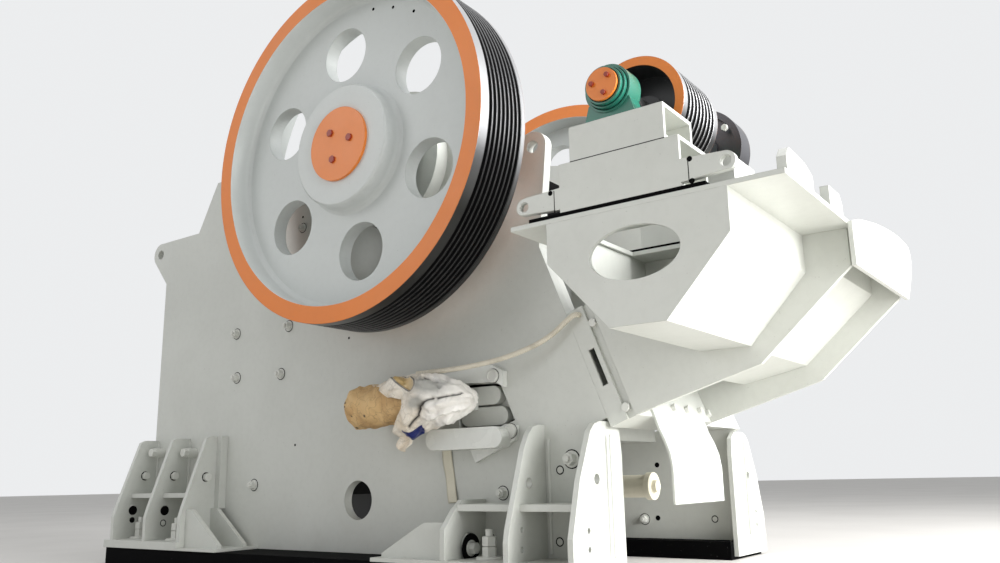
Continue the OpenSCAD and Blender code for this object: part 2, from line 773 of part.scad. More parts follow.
module lower_box(y) {
    open_box(pedestal_x, y, deck_top + pad_t, lower_l, lower_h);
    for (s = [-1, 1])
        pulling_lug(pedestal_x + s * lower_l / 2, y, s);
}
module pedestal_lower() color(steel) lower_box(near_pedestal_y);
module upper_box(y) open_box(pedestal_x, y, deck_top + pad_t + lower_h, upper_l, upper_h);
module pedestal_upper() color(steel) upper_box(near_pedestal_y);
module pedestal_inner() {
    color(steel) {
        open_box(pedestal_x, inner_pedestal_y, deck_top + pad_t, lower_l, lower_h + 1);
        upper_box(inner_pedestal_y);
        block(pedestal_x + upper_l / 2 - box_wall, inner_pedestal_y + 1, deck_top + pad_t + lower_h + 1,
            box_wall, pedestal_w - 2, upper_h - 2);
    }
}
pad_front = 155;
pad_rear = 95;
module pedestal_pads() {
    color(dark)
        for (y = [near_pedestal_y, inner_pedestal_y])
            block(pedestal_x - lower_l / 2 - pad_front, y, deck_top, lower_l + pad_front + pad_rear,
                pedestal_w, pad_t);
}

near_pillow_y = near_pedestal_y + 61;
inner_pillow_y = inner_pedestal_y + 45;
pillow_base_z = axis_h - counter_drop - pillow_axis_h;
pillow_foot = [[-180, 0], [180, 0], [180, 36], [118, 46], [96, 120], [-96, 120], [-118, 46], [-180, 36]];
pillow_steps = [[0, pillow_r - 22], [20, pillow_r - 12], [40, pillow_r]];
module pillow_block(y) {
    color(green)
        difference() {
            union() {
                for (step = pillow_steps)
                    y_rod(counter_x, y + step[0], axis_h - counter_drop, step[1], pillow_w - 2 * step[0]);
                xz_plate([for (p = pillow_foot) [counter_x + p[0], pillow_base_z + p[1]]], y + 46,
                    pillow_w - 92);
            }
            y_rod(counter_x, y - 1, axis_h - counter_drop, counter_r + run_gap, pillow_w + 2);
        }
}
module pillow_block_near() pillow_block(near_pillow_y);
module pillow_block_inner() pillow_block(inner_pillow_y);

disc_y = inner_pedestal_y + pedestal_w + 50;
disc_w = 120;
module countershaft() {
    color(bright)
        y_rod(counter_x, near_pillow_y - 2, axis_h - counter_drop, counter_r,
            disc_y + disc_w - near_pillow_y + 22);
}

pulley_grooves = 8;
pulley_land = 36;
pulley_outline = concat([[counter_r + run_gap, 110], [92, 110], [92, 150], [pulley_r - pulley_ring_w, 150],
    [pulley_r - pulley_ring_w, 0], [pulley_r, 0]],
    [for (i = [0:pulley_grooves - 1]) each [
        [pulley_r, pulley_land + i * groove_pitch + 5],
        [pulley_r - groove_depth, pulley_land + i * groove_pitch + 12],
        [pulley_r - groove_depth, pulley_land + (i + 1) * groove_pitch - 12],
        [pulley_r, pulley_land + (i + 1) * groove_pitch - 5]]],
    [[pulley_r, pulley_w], [pulley_r - pulley_ring_w, pulley_w], [pulley_r - pulley_ring_w, 190],
     [92, 190], [92, pulley_w - 20], [counter_r + run_gap, pulley_w - 20]]);
module small_pulley() {
    color(bright)
        y_turned(counter_x, -ring_face_y, axis_h - counter_drop)
            polygon(pulley_outline);
}

disc_outline = [[counter_r + run_gap, 10], [90, 10], [90, 30], [190, 30], [190, 0], [222, 0], [222, disc_w],
    [counter_r + run_gap, disc_w]];
module drive_disc() {
    color(bright)
        y_turned(counter_x, disc_y, axis_h - counter_drop)
            polygon(disc_outline);
}

module counter_cap() {
    color(orange)
        y_rod(counter_x, near_pillow_y - 14, axis_h - counter_drop, counter_cap_r, 12);
}

// Arched end plate on the deck's rear edge and the two upright stops
cowl_t = 20;
cowl_outline = [[-952, -1062], [-955, -872], [-840, -840], [-721, -818], [-520, -785], [-323, -761],
    [-150, -746], [6, -739], [150, -743], [215, -752], [238, -780], [243, -820], [181, -929], [63, -1054]];
module end_cowl() {
    color(steel)
        yz_plate(below(cowl_outline), deck_rear, cowl_t);
}

stop_h = 95;
stop_t = 36;
stop_near = [[0, 0], [310, 0], [310, 60], [225, stop_h - 8], [110, stop_h], [35, stop_h], [0, 55]];
stop_far = [[0, 0], [185, 0], [185, 45], [150, stop_h - 10], [0, stop_h - 10]];
module deck_stops() {
    color(steel) {
        yz_plate([for (p = stop_near) [near_pedestal_y + 31 + p[0], deck_top + p[1]]], deck_rear - stop_t,
            stop_t);
        yz_plate([for (p = stop_far) [inner_pedestal_y - 171 + p[0], deck_top + p[1]]], deck_rear - stop_t,
            stop_t);
    }
}

// Flared guard over the discharge, bolted to the mounting plate
guard_w = 610;
guard_y = -690;
guard_t = 12;
guard_foot = 2040;
guard_x = 1632;
guard_line = [slope_point(slope_bottom - 100, mount_face),
    slope_point(slope_bottom + beam_down + 5, mount_face),
    [1572, -1680], [1601, -1740], [1622, -1800], [guard_x, -1870], [guard_x, -guard_foot]];
// The same line moved outwards by the guard's thickness
guard_outer = [for (i = [0:len(guard_line) - 1])
    let (m = side_normal(guard_line[max(i - 1, 0)], guard_line[min(i + 1, len(guard_line) - 1)]))
        guard_line[i] - guard_t * m];
module chute_guard() {
    color(steel)
        xz_plate(below(concat(guard_outer, rev(guard_line))), guard_y, guard_w);
}
function rev(p) = [for (i = [len(p) - 1:-1:0]) p[i]];

// Wedge adjustment at the window in the near side plate
bracket_out = 110;
module window_bracket() {
    color(steel) {
        xz_plate(below([[371, -1325], [722, -1301], [800, -1340], [800, -1425], [753, -1398], [443, -1386]]),
            -side_y - 40, 40);
        xz_plate(below([[476, -1640], [748, -1641], [800, -1620], [875, -1630], [862, -1706], [597, -1817],
            [560, -1742]]), -side_y - 24, 24);
        hull()
            for (x = [376, 780])
                y_rod(x, -side_y - bracket_out, axis_h - 1690, 56, bracket_out - 5);
    }
}

// Two rounded wedges behind the window, resting against the toggle beam
module adjusting_wedges() {
    color(steel)
        for (w = [[-1460, 520, 700], [-1572, 530, 745]])
            hull()
                for (x = [w[1], w[2]])
                    y_rod(x, -side_y + 8, axis_h + w[0], 50, plate_t - 8);
}

cylinder_y = -side_y - 190;
cylinder_drop = 1490;
cylinder_r = 80;
cylinder_front = -110;
cylinder_l = 590;
module adjusting_cylinder() {
    color(steel) {
        x_rod(cylinder_front, cylinder_y, axis_h - cylinder_drop, cylinder_r, cylinder_l);
        x_rod(cylinder_front, cylinder_y, axis_h - cylinder_drop, 42, cylinder_l + 120);
        block(220, cylinder_y, axis_h - cylinder_drop - 40, 70, -cylinder_y - side_y, 80);
        block(540, cylinder_y - 45, axis_h - cylinder_drop - 45, 60, 45 - cylinder_y - side_y + 8, 90);
    }
}

// Turns a radius and length outline about the cylinder's line
module x_turned() {
    translate([shaft_x, cylinder_y, axis_h - cylinder_drop])
        rotate([0, 90, 0])
            rotate_extrude()
                children();
}

wrap_r = cylinder_r + seat_gap;
wrap_split = 180;
module paper_wrap() {
    color("#cfb284")
        x_turned()
            polygon([[0, cylinder_front - 14], [112, cylinder_front - 14], [120, cylinder_front - 2],
                [120, cylinder_front + 170], [96, cylinder_front + 240], [92, wrap_split],
                [wrap_r, wrap_split], [wrap_r, cylinder_front], [0, cylinder_front]]);
}

module film_wrap() {
    color("#e6e2d8")
        difference() {
            x_turned()
                polygon([[wrap_r, wrap_split], [118, wrap_split + 4], [140, 210], [146, 330], [138, 430],
                    [112, 530], [70, 600], [43, 600], [43, 482], [wrap_r, 482]]);
            block(220 - 1, cylinder_y, axis_h - cylinder_drop - 41, 72, 200, 82);
            block(540 - 1, cylinder_y - 46, axis_h - cylinder_drop - 46, 62, 250, 92);
        }
}

// Cord from the slotted beam's end to the top of the wrapped cylinder
hose_r = 14;
hose_points = [[1262, -880, -1092], [1262, -896, -1092], [1254, -906, -1094], [1236, -912, -1101],
    [1190, -917, -1133], [1140, -925, -1172], [1090, -936, -1204], [1035, -948, -1230], [975, -962, -1252],
    [910, -977, -1272], [845, -992, -1288], [780, -1006, -1300], [710, -1020, -1310], [640, -1034, -1318],
    [570, -1046, -1323], [500, -1056, -1326], [430, -1064, -1328], [380, -1070, -1330], [330, -1070, -1330]];
function at_shaft(p) = [p[0] + shaft_x, p[1], p[2] + axis_h];
function ring(p, d, n) = let (u = unit(cross([0, 0, 1], d)), v = cross(d, u))
    [for (i = [0:n - 1]) p + hose_r * (cos(360 * i / n) * u + sin(360 * i / n) * v)];
function tangent(path, i) = unit(path[min(i + 1, len(path) - 1)] - path[max(i - 1, 0)]);
module swept_tube(path, n) {
    rings = [for (i = [0:len(path) - 1]) each ring(path[i], tangent(path, i), n)];
    last = (len(path) - 1) * n;
    polyhedron(rings, concat(
        [[for (i = [0:n - 1]) i]],
        [for (j = [0:len(path) - 2]) for (i = [0:n - 1])
            [j * n + i, (j + 1) * n + i, (j + 1) * n + (i + 1) % n, j * n + (i + 1) % n]],
        [[for (i = [n - 1:-1:0]) last + i]]));
}
module hose() {
    color("#e8e4d8")
        swept_tube([for (p = hose_points) at_shaft(p)], 8);
}

side_plate_near();
side_plate_far();
front_wall();
rear_wall();
fixed_jaw();
swing_jaw();
swing_jaw_liner();
cheek_plates();
toggle_plate();
toggle_beam();
tension_rod();
bearing_housing_near();
bearing_housing_far();
eccentric_shaft();
drive_wheel();
balance_wheel();
wheel_cap_near();
wheel_cap_far();
front_foot_near();
front_foot_far();
rear_foot_near();
rear_foot_far();
bed_near();
bed_far();
motor_deck();
bracket_gusset_near();
bracket_gusset_mid();
outboard_pan();
outboard_plate();
inner_pan();
slotted_beam();
mounting_plate();
pedestal_lower();
pedestal_upper();
pillow_block_near();
pedestal_inner();
pillow_block_inner();
pedestal_pads();
countershaft();
small_pulley();
drive_disc();
counter_cap();
end_cowl();
deck_stops();
chute_guard();
window_bracket();
adjusting_wedges();
adjusting_cylinder();
paper_wrap();
film_wrap();
hose();
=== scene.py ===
"""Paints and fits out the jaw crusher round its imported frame, and sets up the studio.

Lengths named in millimetres are measured from the middle of the eccentric shaft, as a fitter would
measure the machine. They are turned into metres in the frame's own axes by at_shaft.
"""

import json
import logging
import math
from collections.abc import Sequence
from dataclasses import dataclass, field, replace
from enum import Enum

import bmesh
import bpy
import numpy as np
from mathutils import Matrix


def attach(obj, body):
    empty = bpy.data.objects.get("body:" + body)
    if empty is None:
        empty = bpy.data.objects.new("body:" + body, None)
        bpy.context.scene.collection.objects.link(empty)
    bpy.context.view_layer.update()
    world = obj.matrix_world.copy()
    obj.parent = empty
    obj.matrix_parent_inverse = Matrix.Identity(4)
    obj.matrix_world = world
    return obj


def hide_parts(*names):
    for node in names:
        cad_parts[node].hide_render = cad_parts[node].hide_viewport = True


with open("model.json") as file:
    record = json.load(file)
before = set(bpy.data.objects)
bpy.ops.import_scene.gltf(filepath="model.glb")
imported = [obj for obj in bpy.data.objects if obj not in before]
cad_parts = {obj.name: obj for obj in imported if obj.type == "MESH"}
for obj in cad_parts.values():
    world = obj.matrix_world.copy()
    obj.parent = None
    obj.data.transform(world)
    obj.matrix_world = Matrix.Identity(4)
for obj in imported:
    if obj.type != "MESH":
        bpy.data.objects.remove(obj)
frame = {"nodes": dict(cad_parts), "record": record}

LOG = logging.getLogger("jaw_crusher")

MM = 0.001
AXLE = (0.5095, 2.42)
SHAFT = np.array((AXLE[0], 0.0, AXLE[1]))
SIDE = -880.0
FOOT_TOP = -2260.0
SLOPE_ANGLE = math.atan2(1396.0 - 1030.0, 1617.0 - 690.0)

Colour = tuple[float, float, float]
Place = tuple[float, float, float]
Places = tuple[Place, ...]
Pair = tuple[float, float]
Spots = tuple[Pair, ...]
Curve = tuple[tuple[float, ...], tuple[float, ...]]
Value = object


class Body(Enum):
    """The bodies that a piece can ride on."""

    FRAME = "frame"
    CRANK = "crank"
    COUNTERSHAFT = "countershaft"


class Way(Enum):
    """Directions that a bolt or a cap points in."""

    NEAR = (0.0, -1.0, 0.0)
    UP = (0.0, 0.0, 1.0)
    REAR = (1.0, 0.0, 0.0)
    SLOPE = (math.cos(SLOPE_ANGLE), 0.0, math.sin(SLOPE_ANGLE))


def at_shaft(x: float, y: float, z: float) -> Place:
    """Gives a point in metres from its millimetres behind, beside and above the shaft.

    Args:
        x: Distance behind the shaft.
        y: Distance from the machine's middle, towards the far side.
        z: Height above the shaft.

    Returns:
        The point in the frame's axes.
    """
    return (SHAFT[0] + x * MM, SHAFT[1] + y * MM, SHAFT[2] + z * MM)


def srgb(red: int, green: int, blue: int) -> Colour:
    """Turns a colour of a paint card, in 0 to 255, into the light it reflects."""
    share = np.array((red, green, blue)) / 255.0
    light = np.where(share <= 0.04045, share / 12.92, ((share + 0.055) / 1.055) ** 2.4)
    return tuple(float(part) for part in light)


def slope_place(drop: float, y: float, out: float) -> Place:
    """Gives a point on the rear slope: the slope's line at a depth, moved out along its normal.

    Args:
        drop: Depth below the shaft, measured on the slope's own line, in millimetres.
        y: Distance from the machine's middle.
        out: Distance square out from the slope.

    Returns:
        The point in millimetres from the shaft.
    """
    along = 1030.0 + (drop - 690.0) * math.tan(SLOPE_ANGLE)
    return (along + out * math.cos(SLOPE_ANGLE), y, -drop + out * math.sin(SLOPE_ANGLE))


def on_plate(spots: Sequence[Pair], y: float) -> list[Place]:
    """Gives the places of spots (x, z) on a plate across the machine, whose face is at y."""
    return [(x, y, z) for x, z in spots]


def on_circle(
    radius: float, angles: tuple[float, ...], y: float, middle: Pair = (0.0, 0.0),
) -> list[Place]:
    """Gives places on a circle about an axle along Y.

    Args:
        radius: Radius of the circle in millimetres.
        angles: Angle of each place in degrees, from the rear upwards.
        y: Place of the face along the axle.
        middle: X and Z of the axle.

    Returns:
        The places in millimetres from the shaft.
    """
    turns = np.radians(angles)
    return [(middle[0] + radius * math.cos(turn), y, middle[1] + radius * math.sin(turn)) for turn in turns]


GREY = srgb(204, 206, 200)
ORANGE = srgb(222, 124, 44)


@dataclass
class Surface:
    """A mesh as arrays: its corners, and faces of four corners each."""

    points: np.ndarray
    faces: np.ndarray

    @staticmethod
    def from_grid(grid: np.ndarray, round_u: bool = False, round_v: bool = False) -> "Surface":
        """Joins the points of a grid into quads: corner (u, v) meets (u+1, v), (u+1, v+1) and (u, v+1).

        Args:
            grid: Points of shape (u, v, 3).
            round_u: Whether the last row joins the first.
            round_v: Whether the last column joins the first.

        Returns:
            The surface.
        """
        across, along = grid.shape[:2]
        index = np.arange(across * along).reshape(across, along)
        if round_u:
            index = np.vstack((index, index[:1]))
        if round_v:
            index = np.hstack((index, index[:, :1]))
        faces = np.stack((index[:-1, :-1], index[1:, :-1], index[1:, 1:], index[:-1, 1:]), axis=-1)
        return Surface(grid.reshape(-1, 3).astype(float), faces.reshape(-1, 4))

    @staticmethod
    def joined(parts: list["Surface"]) -> "Surface":
        """Puts several surfaces into one list of corners and faces."""
        starts = np.cumsum([0] + [len(part.points) for part in parts[:-1]])
        faces = [part.faces + start for part, start in zip(parts, starts)]
        return Surface(np.vstack([part.points for part in parts]), np.vstack(faces))

    def mesh(self, name: str) -> bpy.types.Mesh:
        """Makes a mesh of the surface."""
        mesh = bpy.data.meshes.new(name)
        mesh.from_pydata(self.points.tolist(), [], self.faces.tolist())
        return mesh

    def copied(self, places: np.ndarray, ways: np.ndarray, sizes: np.ndarray, spins: np.ndarray) -> "Surface":
        """Repeats a surface drawn about +Z at many places.

        Each copy's point is place + size * (x * side + y * up + z * way), with side and up turned about way by
        the spin.

        Args:
            places: Places of shape (n, 3).
            ways: Directions that +Z turns to.
            sizes: One scale for each copy.
            spins: One turn about the way for each copy, in radians.

        Returns:
            All the copies as one surface.
        """
        ways = ways / np.linalg.norm(ways, axis=1, keepdims=True)
        helper = np.where(np.abs(ways[:, 2:3]) > 0.9, (1.0, 0.0, 0.0), (0.0, 0.0, 1.0))
        side = np.cross(helper, ways)
        side /= np.linalg.norm(side, axis=1, keepdims=True)
        up = np.cross(ways, side)
        turn_cos, turn_sin = np.cos(spins)[:, None], np.sin(spins)[:, None]
        axes = np.stack((turn_cos * side + turn_sin * up, turn_cos * up - turn_sin * side, ways), axis=1)
        points = places[:, None, :] + sizes[:, None, None] * np.einsum("vk,nkc->nvc", self.points, axes)
        steps = np.arange(len(places))[:, None, None] * len(self.points)
        return Surface(points.reshape(-1, 3), (self.faces[None] + steps).reshape(-1, self.faces.shape[1]))


def revolve(profile: list[Pair], steps: int = 48) -> Surface:
    """Turns a profile about +Z: point(u, v) = (radius(v) cos u, radius(v) sin u, height(v)).

    Args:
        profile: Radius and height of each ring, which starts and ends at radius 0 where it is closed.
        steps: Number of points round.

    Returns:
        The turned surface.
    """
    outline = np.array(profile, float)
    angle = np.linspace(0.0, math.tau, steps, endpoint=False)
    grid = np.empty((steps, len(outline), 3))
    grid[..., 0] = np.cos(angle)[:, None] * outline[None, :, 0]
    grid[..., 1] = np.sin(angle)[:, None] * outline[None, :, 0]
    grid[..., 2] = outline[None, :, 1]
    return Surface.from_grid(grid, round_u=True)


def turned_ring(profile: list[Pair], axle: Pair, steps: int = 360) -> Surface:
    """Turns a closed profile about an axle along Y: point(u, v) = (x + r(v) sin u, y(v), z + r(v) cos u).

    Args:
        profile: Radius and Y of each corner, in metres; the last joins the first.
        axle: X and Z of the axle, in metres.
        steps: Number of points round.

    Returns:
        The ring.
    """
    angle = np.linspace(0.0, math.tau, steps, endpoint=False)[:, None]
    radius, side = np.array(profile).T[:, None, :]
    parts = np.broadcast_arrays(axle[0] + radius * np.sin(angle), side, axle[1] + radius * np.cos(angle))
    return Surface.from_grid(np.stack(parts, axis=-1), round_u=True, round_v=True)


def thin_plate(corners: list[Pair], y: float, wall: float) -> Surface:
    """A flat plate across the machine's side, whose two faces are fans about the mean of its corners.

    Args:
        corners: X and Z of each corner in millimetres.
        y: Place of the near face.
        wall: Thickness of the plate.

    Returns:
        The closed plate.
    """
    fan = [tuple(np.mean(corners, axis=0))] * len(corners)
    loops = ((fan, y), (corners, y), (corners, y + wall), (fan, y + wall))
    grid = [[at_shaft(x, level, z) for x, z in loop] for loop, level in loops]
    return Surface.from_grid(np.array(grid), round_v=True)


def hexagon_head(base: float, height: float) -> Surface:
    """A hexagon head that is 1 wide across its flats, with the corners of its top chamfered.

    The radius at an angle is half the width divided by the cosine of the angle from the middle of the flat.
    The chamfer is a cone of 30 degrees, so its lower edge dips at the corners.

    Args:
        base: Height at which the head starts.
        height: Height of the head.

    Returns:
        The head's surface about +Z.
    """
    angle = np.linspace(0.0, math.tau, 24, endpoint=False)
    flat = np.mod(angle + math.pi / 6.0, math.pi / 3.0) - math.pi / 6.0
    corner = 0.5 / np.cos(flat)
    chamfer = base + height - (corner - 0.47) * math.tan(math.pi / 6.0)
    rings = [(0.0 * corner, base), (corner, base), (corner, chamfer), (0.47 + 0.0 * corner, base + height),
             (0.0 * corner, base + height)]
    grid = np.stack([np.stack((r * np.cos(angle), r * np.sin(angle), z + 0.0 * r), axis=-1) for r, z in rings], axis=1)
    return Surface.from_grid(grid, round_u=True)


def washer_ring(radius: float, thickness: float, base: float = 0.0) -> Surface:
    """A round washer with a small rounded edge, closed above and below.

    Args:
        radius: Radius of the washer.
        thickness: Its thickness.
        base: Height of its lower face.

    Returns:
        The washer.
    """
    edge = 0.35 * thickness
    return revolve([(0.0, base), (radius, base), (radius, base + thickness - edge),
                    (radius - edge, base + thickness), (0.0, base + thickness)], 24)


class Fastener(Enum):
    """The kinds of fastener on the machine."""

    BOLT = "bolt"
    STUD = "stud"
    SLEEVE = "sleeve"
    STACK = "stack"
    BARE = "bare"
    HOLE = "hole"
    PLUG = "plug"
    BOSS = "boss"


def fastener(kind: Fastener) -> Surface:
    """The surface of one fastener, 1 wide across its flats, standing on its seat.

    Args:
        kind: Which fastener it is: a bolt with its washer, a stud with its nut, a stud whose nut stands on a
        long sleeve, an anchor's stack of two nuts, a bolt with no washer, a black disc of painted shadow in
        the mouth of a small hole, the pale plug that fills one and leaves a ring of that painted shadow, or a
        round dished head.

    Returns:
        The surface about +Z.
    """
    if kind is Fastener.BARE:
        return hexagon_head(-0.02, 0.62)
    if kind is Fastener.HOLE:
        return revolve([(0.0, -0.01), (0.5, -0.01), (0.5, 0.015), (0.0, 0.015)], 32)
    if kind is Fastener.PLUG:
        return revolve([(0.0, -0.01), (0.37, -0.01), (0.37, 0.02), (0.33, 0.035), (0.0, 0.035)], 32)
    if kind is Fastener.BOSS:
        line = [(0.0, -0.01), (0.5, -0.01), (0.5, 0.18), (0.45, 0.23), (0.36, 0.23), (0.33, 0.19), (0.0, 0.19)]
        return revolve(line, 40)
    if kind is Fastener.BOLT:
        return Surface.joined([washer_ring(0.78, 0.12), hexagon_head(0.11, 0.62)])
    if kind is Fastener.STUD:
        end = revolve([(0.0, 0.5), (0.3, 0.5), (0.3, 1.05), (0.26, 1.1), (0.0, 1.1)], 20)
        return Surface.joined([washer_ring(0.76, 0.1), hexagon_head(0.09, 0.72), end])
    if kind is Fastener.SLEEVE:
        sleeve = revolve([(0.0, 0.0), (0.62, 0.0), (0.62, 1.3), (0.58, 1.34), (0.0, 1.34)], 28)
        return Surface.joined([sleeve, hexagon_head(1.33, 0.62)])
    stem = revolve([(0.0, 0.3), (0.3, 0.3), (0.3, 2.15), (0.26, 2.2), (0.0, 2.2)], 20)
    return Surface.joined([washer_ring(1.05, 0.2), hexagon_head(0.19, 0.75), hexagon_head(0.97, 0.7), stem])


def weld_bead(path: np.ndarray, first: Place, second: Place, size: float) -> Surface:
    """A rippled fillet weld along a path.

    Point(s, a) = path(s) + size * ripple(s) * (cos a * first + sin a * second), with a from 0 to 90 degrees and
    ripple(s) = 1 + 0.1 |sin| of the distance along the path. It shrinks to nothing at both ends.

    Args:
        path: Corner points of the path in metres, of shape (n, 3).
        first: Direction along one of the two plates.
        second: Direction along the other plate.
        size: Leg length of the weld in metres.

    Returns:
        The bead's surface.
    """
    steps = np.linalg.norm(np.diff(path, axis=0), axis=1)
    travel = np.concatenate(([0.0], np.cumsum(steps)))
    count = max(int(travel[-1] / 0.007), 8)
    at = np.linspace(0.0, travel[-1], count)
    line = np.stack([np.interp(at, travel, path[:, axis]) for axis in range(3)], axis=1)
    ripple = 0.94 + 0.12 * np.abs(np.sin(at / 0.016 * math.pi)) + 0.05 * np.sin(at * 37.0)
    ripple[[0, -1]] = 0.0
    turn = np.linspace(0.0, math.pi / 2.0, 5)
    bulge = np.outer(np.cos(turn), first) + np.outer(np.sin(turn), second)
    rim = line[:, None, :] + size * ripple[:, None, None] * bulge[None]
    root = line[:, None, :] - 0.0005 * (np.array(first) + np.array(second))
    return Surface.from_grid(np.concatenate((root, rim), axis=1), round_v=True)


def catmull(points: np.ndarray, per_span: int) -> np.ndarray:
    """A smooth line through points.

    Each span is the Catmull-Rom cubic: half of 2b + (c - a) t + (2a - 5b + 4c - d) t^2 + (3b - a - 3c + d) t^3.

    Args:
        points: Points of shape (n, 3).
        per_span: Number of steps between two points.

    Returns:
        The points of the smooth line.
    """
    ends = np.vstack((2 * points[0] - points[1], points, 2 * points[-1] - points[-2]))
    a, b, c, d = ends[:-3, None], ends[1:-2, None], ends[2:-1, None], ends[3:, None]
    t = np.linspace(0.0, 1.0, per_span, endpoint=False)[None, :, None]
    line = 0.5 * (2 * b + (c - a) * t + (2 * a - 5 * b + 4 * c - d) * t**2 + (3 * b - a - 3 * c + d) * t**3)
    return np.vstack((line.reshape(-1, 3), points[-1]))


def tube(line: np.ndarray, radius: float, around: int = 12) -> Surface:
    """Sweeps a circle along a line: point(s, a) = line(s) + radius (cos a * side + sin a * up).

    Side is the tangent crossed with +Z, and up is the tangent crossed with side.

    Args:
        line: Points of the centreline in metres.
        radius: Radius of the circle.
        around: Number of points round.

    Returns:
        The tube, closed at both ends.
    """
    run = np.gradient(line, axis=0)
    run /= np.linalg.norm(run, axis=1, keepdims=True)
    side = np.cross((0.0, 0.0, 1.0), run)
    side /= np.linalg.norm(side, axis=1, keepdims=True)
    up = np.cross(run, side)
    angle = np.linspace(0.0, math.tau, around, endpoint=False)
    circle = np.cos(angle)[None, :, None] * side[:, None] + np.sin(angle)[None, :, None] * up[:, None]
    wall = line[:, None] + radius * circle
    ends = [np.repeat(line[[k]], around, axis=0)[None] for k in (0, -1)]
    return Surface.from_grid(np.concatenate((ends[0], wall, ends[1])), round_v=True)


def crumple(points: np.ndarray, scale: float, seed: int, waves: int = 7) -> np.ndarray:
    """Creased noise, like crushed paper: flat facets that meet in sharp folds.

    It is the sum of triangle waves, each the arcsine of a sine of the place along a direction drawn from the
    seed, divided by the root of their number.

    Args:
        points: Points of shape (..., 3) in metres.
        scale: Waves in one metre, about.
        seed: Seed of the draw.
        waves: Number of waves.

    Returns:
        Values of about -1.5 to 1.5, one for each point.
    """
    draw = np.random.default_rng(seed)
    way = draw.normal(size=(waves, 3)) * scale * math.tau / 1.7
    start = draw.uniform(0.0, math.tau, waves)
    return np.arcsin(np.sin(points @ way.T + start)).sum(axis=-1) * (2.0 / math.pi) / math.sqrt(waves)


def bump(value: np.ndarray, middle: float, reach: float) -> np.ndarray:
    """A bell that is 1 at its middle: e to the minus square of the distance over the reach.

    Args:
        value: Values to look at.
        middle: Where the swelling is 1.
        reach: Distance over which it falls off.

    Returns:
        The swelling at each value.
    """
    return np.exp(-(((value - middle) / reach) ** 2))


def line_distance(across: np.ndarray, along: np.ndarray, corners: Spots) -> np.ndarray:
    """Distance of each point (across, along) from a line through corners: the least of its distances from the spans.

    Args:
        across: First number of each place.
        along: Second number of each place.
        corners: Corners of the line.

    Returns:
        The distance of each place.
    """
    best = np.full(np.broadcast(across, along).shape, 1e9)
    for (ax, ay), (bx, by) in zip(corners[:-1], corners[1:]):
        dx, dy = bx - ax, by - ay
        share = np.clip(((across - ax) * dx + (along - ay) * dy) / (dx * dx + dy * dy), 0.0, 1.0)
        best = np.minimum(best, np.hypot(across - ax - share * dx, along - ay - share * dy))
    return best


def close_mesh(mesh: bpy.types.Mesh, sharp: float, turn: bool = True) -> None:
    """Merges doubles, turns faces outwards and shades smoothly up to an angle in degrees.

    Args:
        mesh: The mesh.
        sharp: Angle in degrees above which an edge stays sharp.
        turn: Whether its faces are turned outwards.
    """
    work = bmesh.new()
    work.from_mesh(mesh)
    bmesh.ops.remove_doubles(work, verts=work.verts, dist=0.00002)
    bmesh.ops.dissolve_degenerate(work, edges=work.edges, dist=0.00001)
    if turn:
        bmesh.ops.recalc_face_normals(work, faces=work.faces)
    work.to_mesh(mesh)
    work.free()
    mesh.shade_smooth()
    mesh.set_sharp_from_angle(angle=math.radians(sharp))


def add_object(name: str, mesh: bpy.types.Mesh, finish: bpy.types.Material) -> bpy.types.Object:
    """Gives a mesh its one finish and puts it into the scene, at the origin.

    Args:
        name: Name of the object.
        mesh: Its mesh.
        finish: Its material.

    Returns:
        The object.
    """
    mesh.materials.clear()
    mesh.materials.append(finish)
    thing = bpy.data.objects.new(name, mesh)
    bpy.context.scene.collection.objects.link(thing)
    return thing


def add_piece(name: str, mesh: bpy.types.Mesh, finish: bpy.types.Material, body: Body) -> bpy.types.Object:
    """Puts a mesh into the scene as one piece of the machine.

    Args:
        name: Name of the piece.
        mesh: Its shape, in the frame's axes.
        finish: Its material.
        body: The body that it rides on.

    Returns:
        The piece.
    """
    piece = add_object(name, mesh, finish)
    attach(piece, body.value)
    LOG.info("%s: %d corners, rides on %s", name, len(mesh.vertices), body.value)
    return piece


def make_piece(
    name: str,
    surface: Surface,
    finish: bpy.types.Material,
    body: Body = Body.FRAME,
    sharp: float = 32.0,
) -> bpy.types.Object:
    """Makes one piece of a surface, with its doubles merged and its faces turned outwards.

    Args:
        name: Name of the piece.
        surface: Its shape, in the frame's axes.
        finish: Its material.
        body: The body that it rides on.
        sharp: Angle in degrees above which an edge stays sharp.

    Returns:
        The piece.
    """
    mesh = surface.mesh(name)
    close_mesh(mesh, sharp)
    return add_piece(name, mesh, finish, body)


def smooth_copy(node: str, body: Body, finish: bpy.types.Material) -> bpy.types.Object:
    """Replaces a turned CAD node by a merged copy of itself: round faces shade smoothly, end faces stay flat.

    Args:
        node: Name of the CAD node.
        body: The body that it rides on.
        finish: Its material.

    Returns:
        The new piece.
    """
    mesh = frame["nodes"][node].data.copy()
    mesh.name = node + "_skin"
    close_mesh(mesh, 28.0, turn=False)
    normals = np.empty(len(mesh.polygons) * 3)
    mesh.polygons.foreach_get("normal", normals)
    mesh.polygons.foreach_set("use_smooth", np.abs(normals.reshape(-1, 3)[:, 1]) < 0.995)
    piece = add_piece(mesh.name, mesh, finish, body)
    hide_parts(node)
    return piece


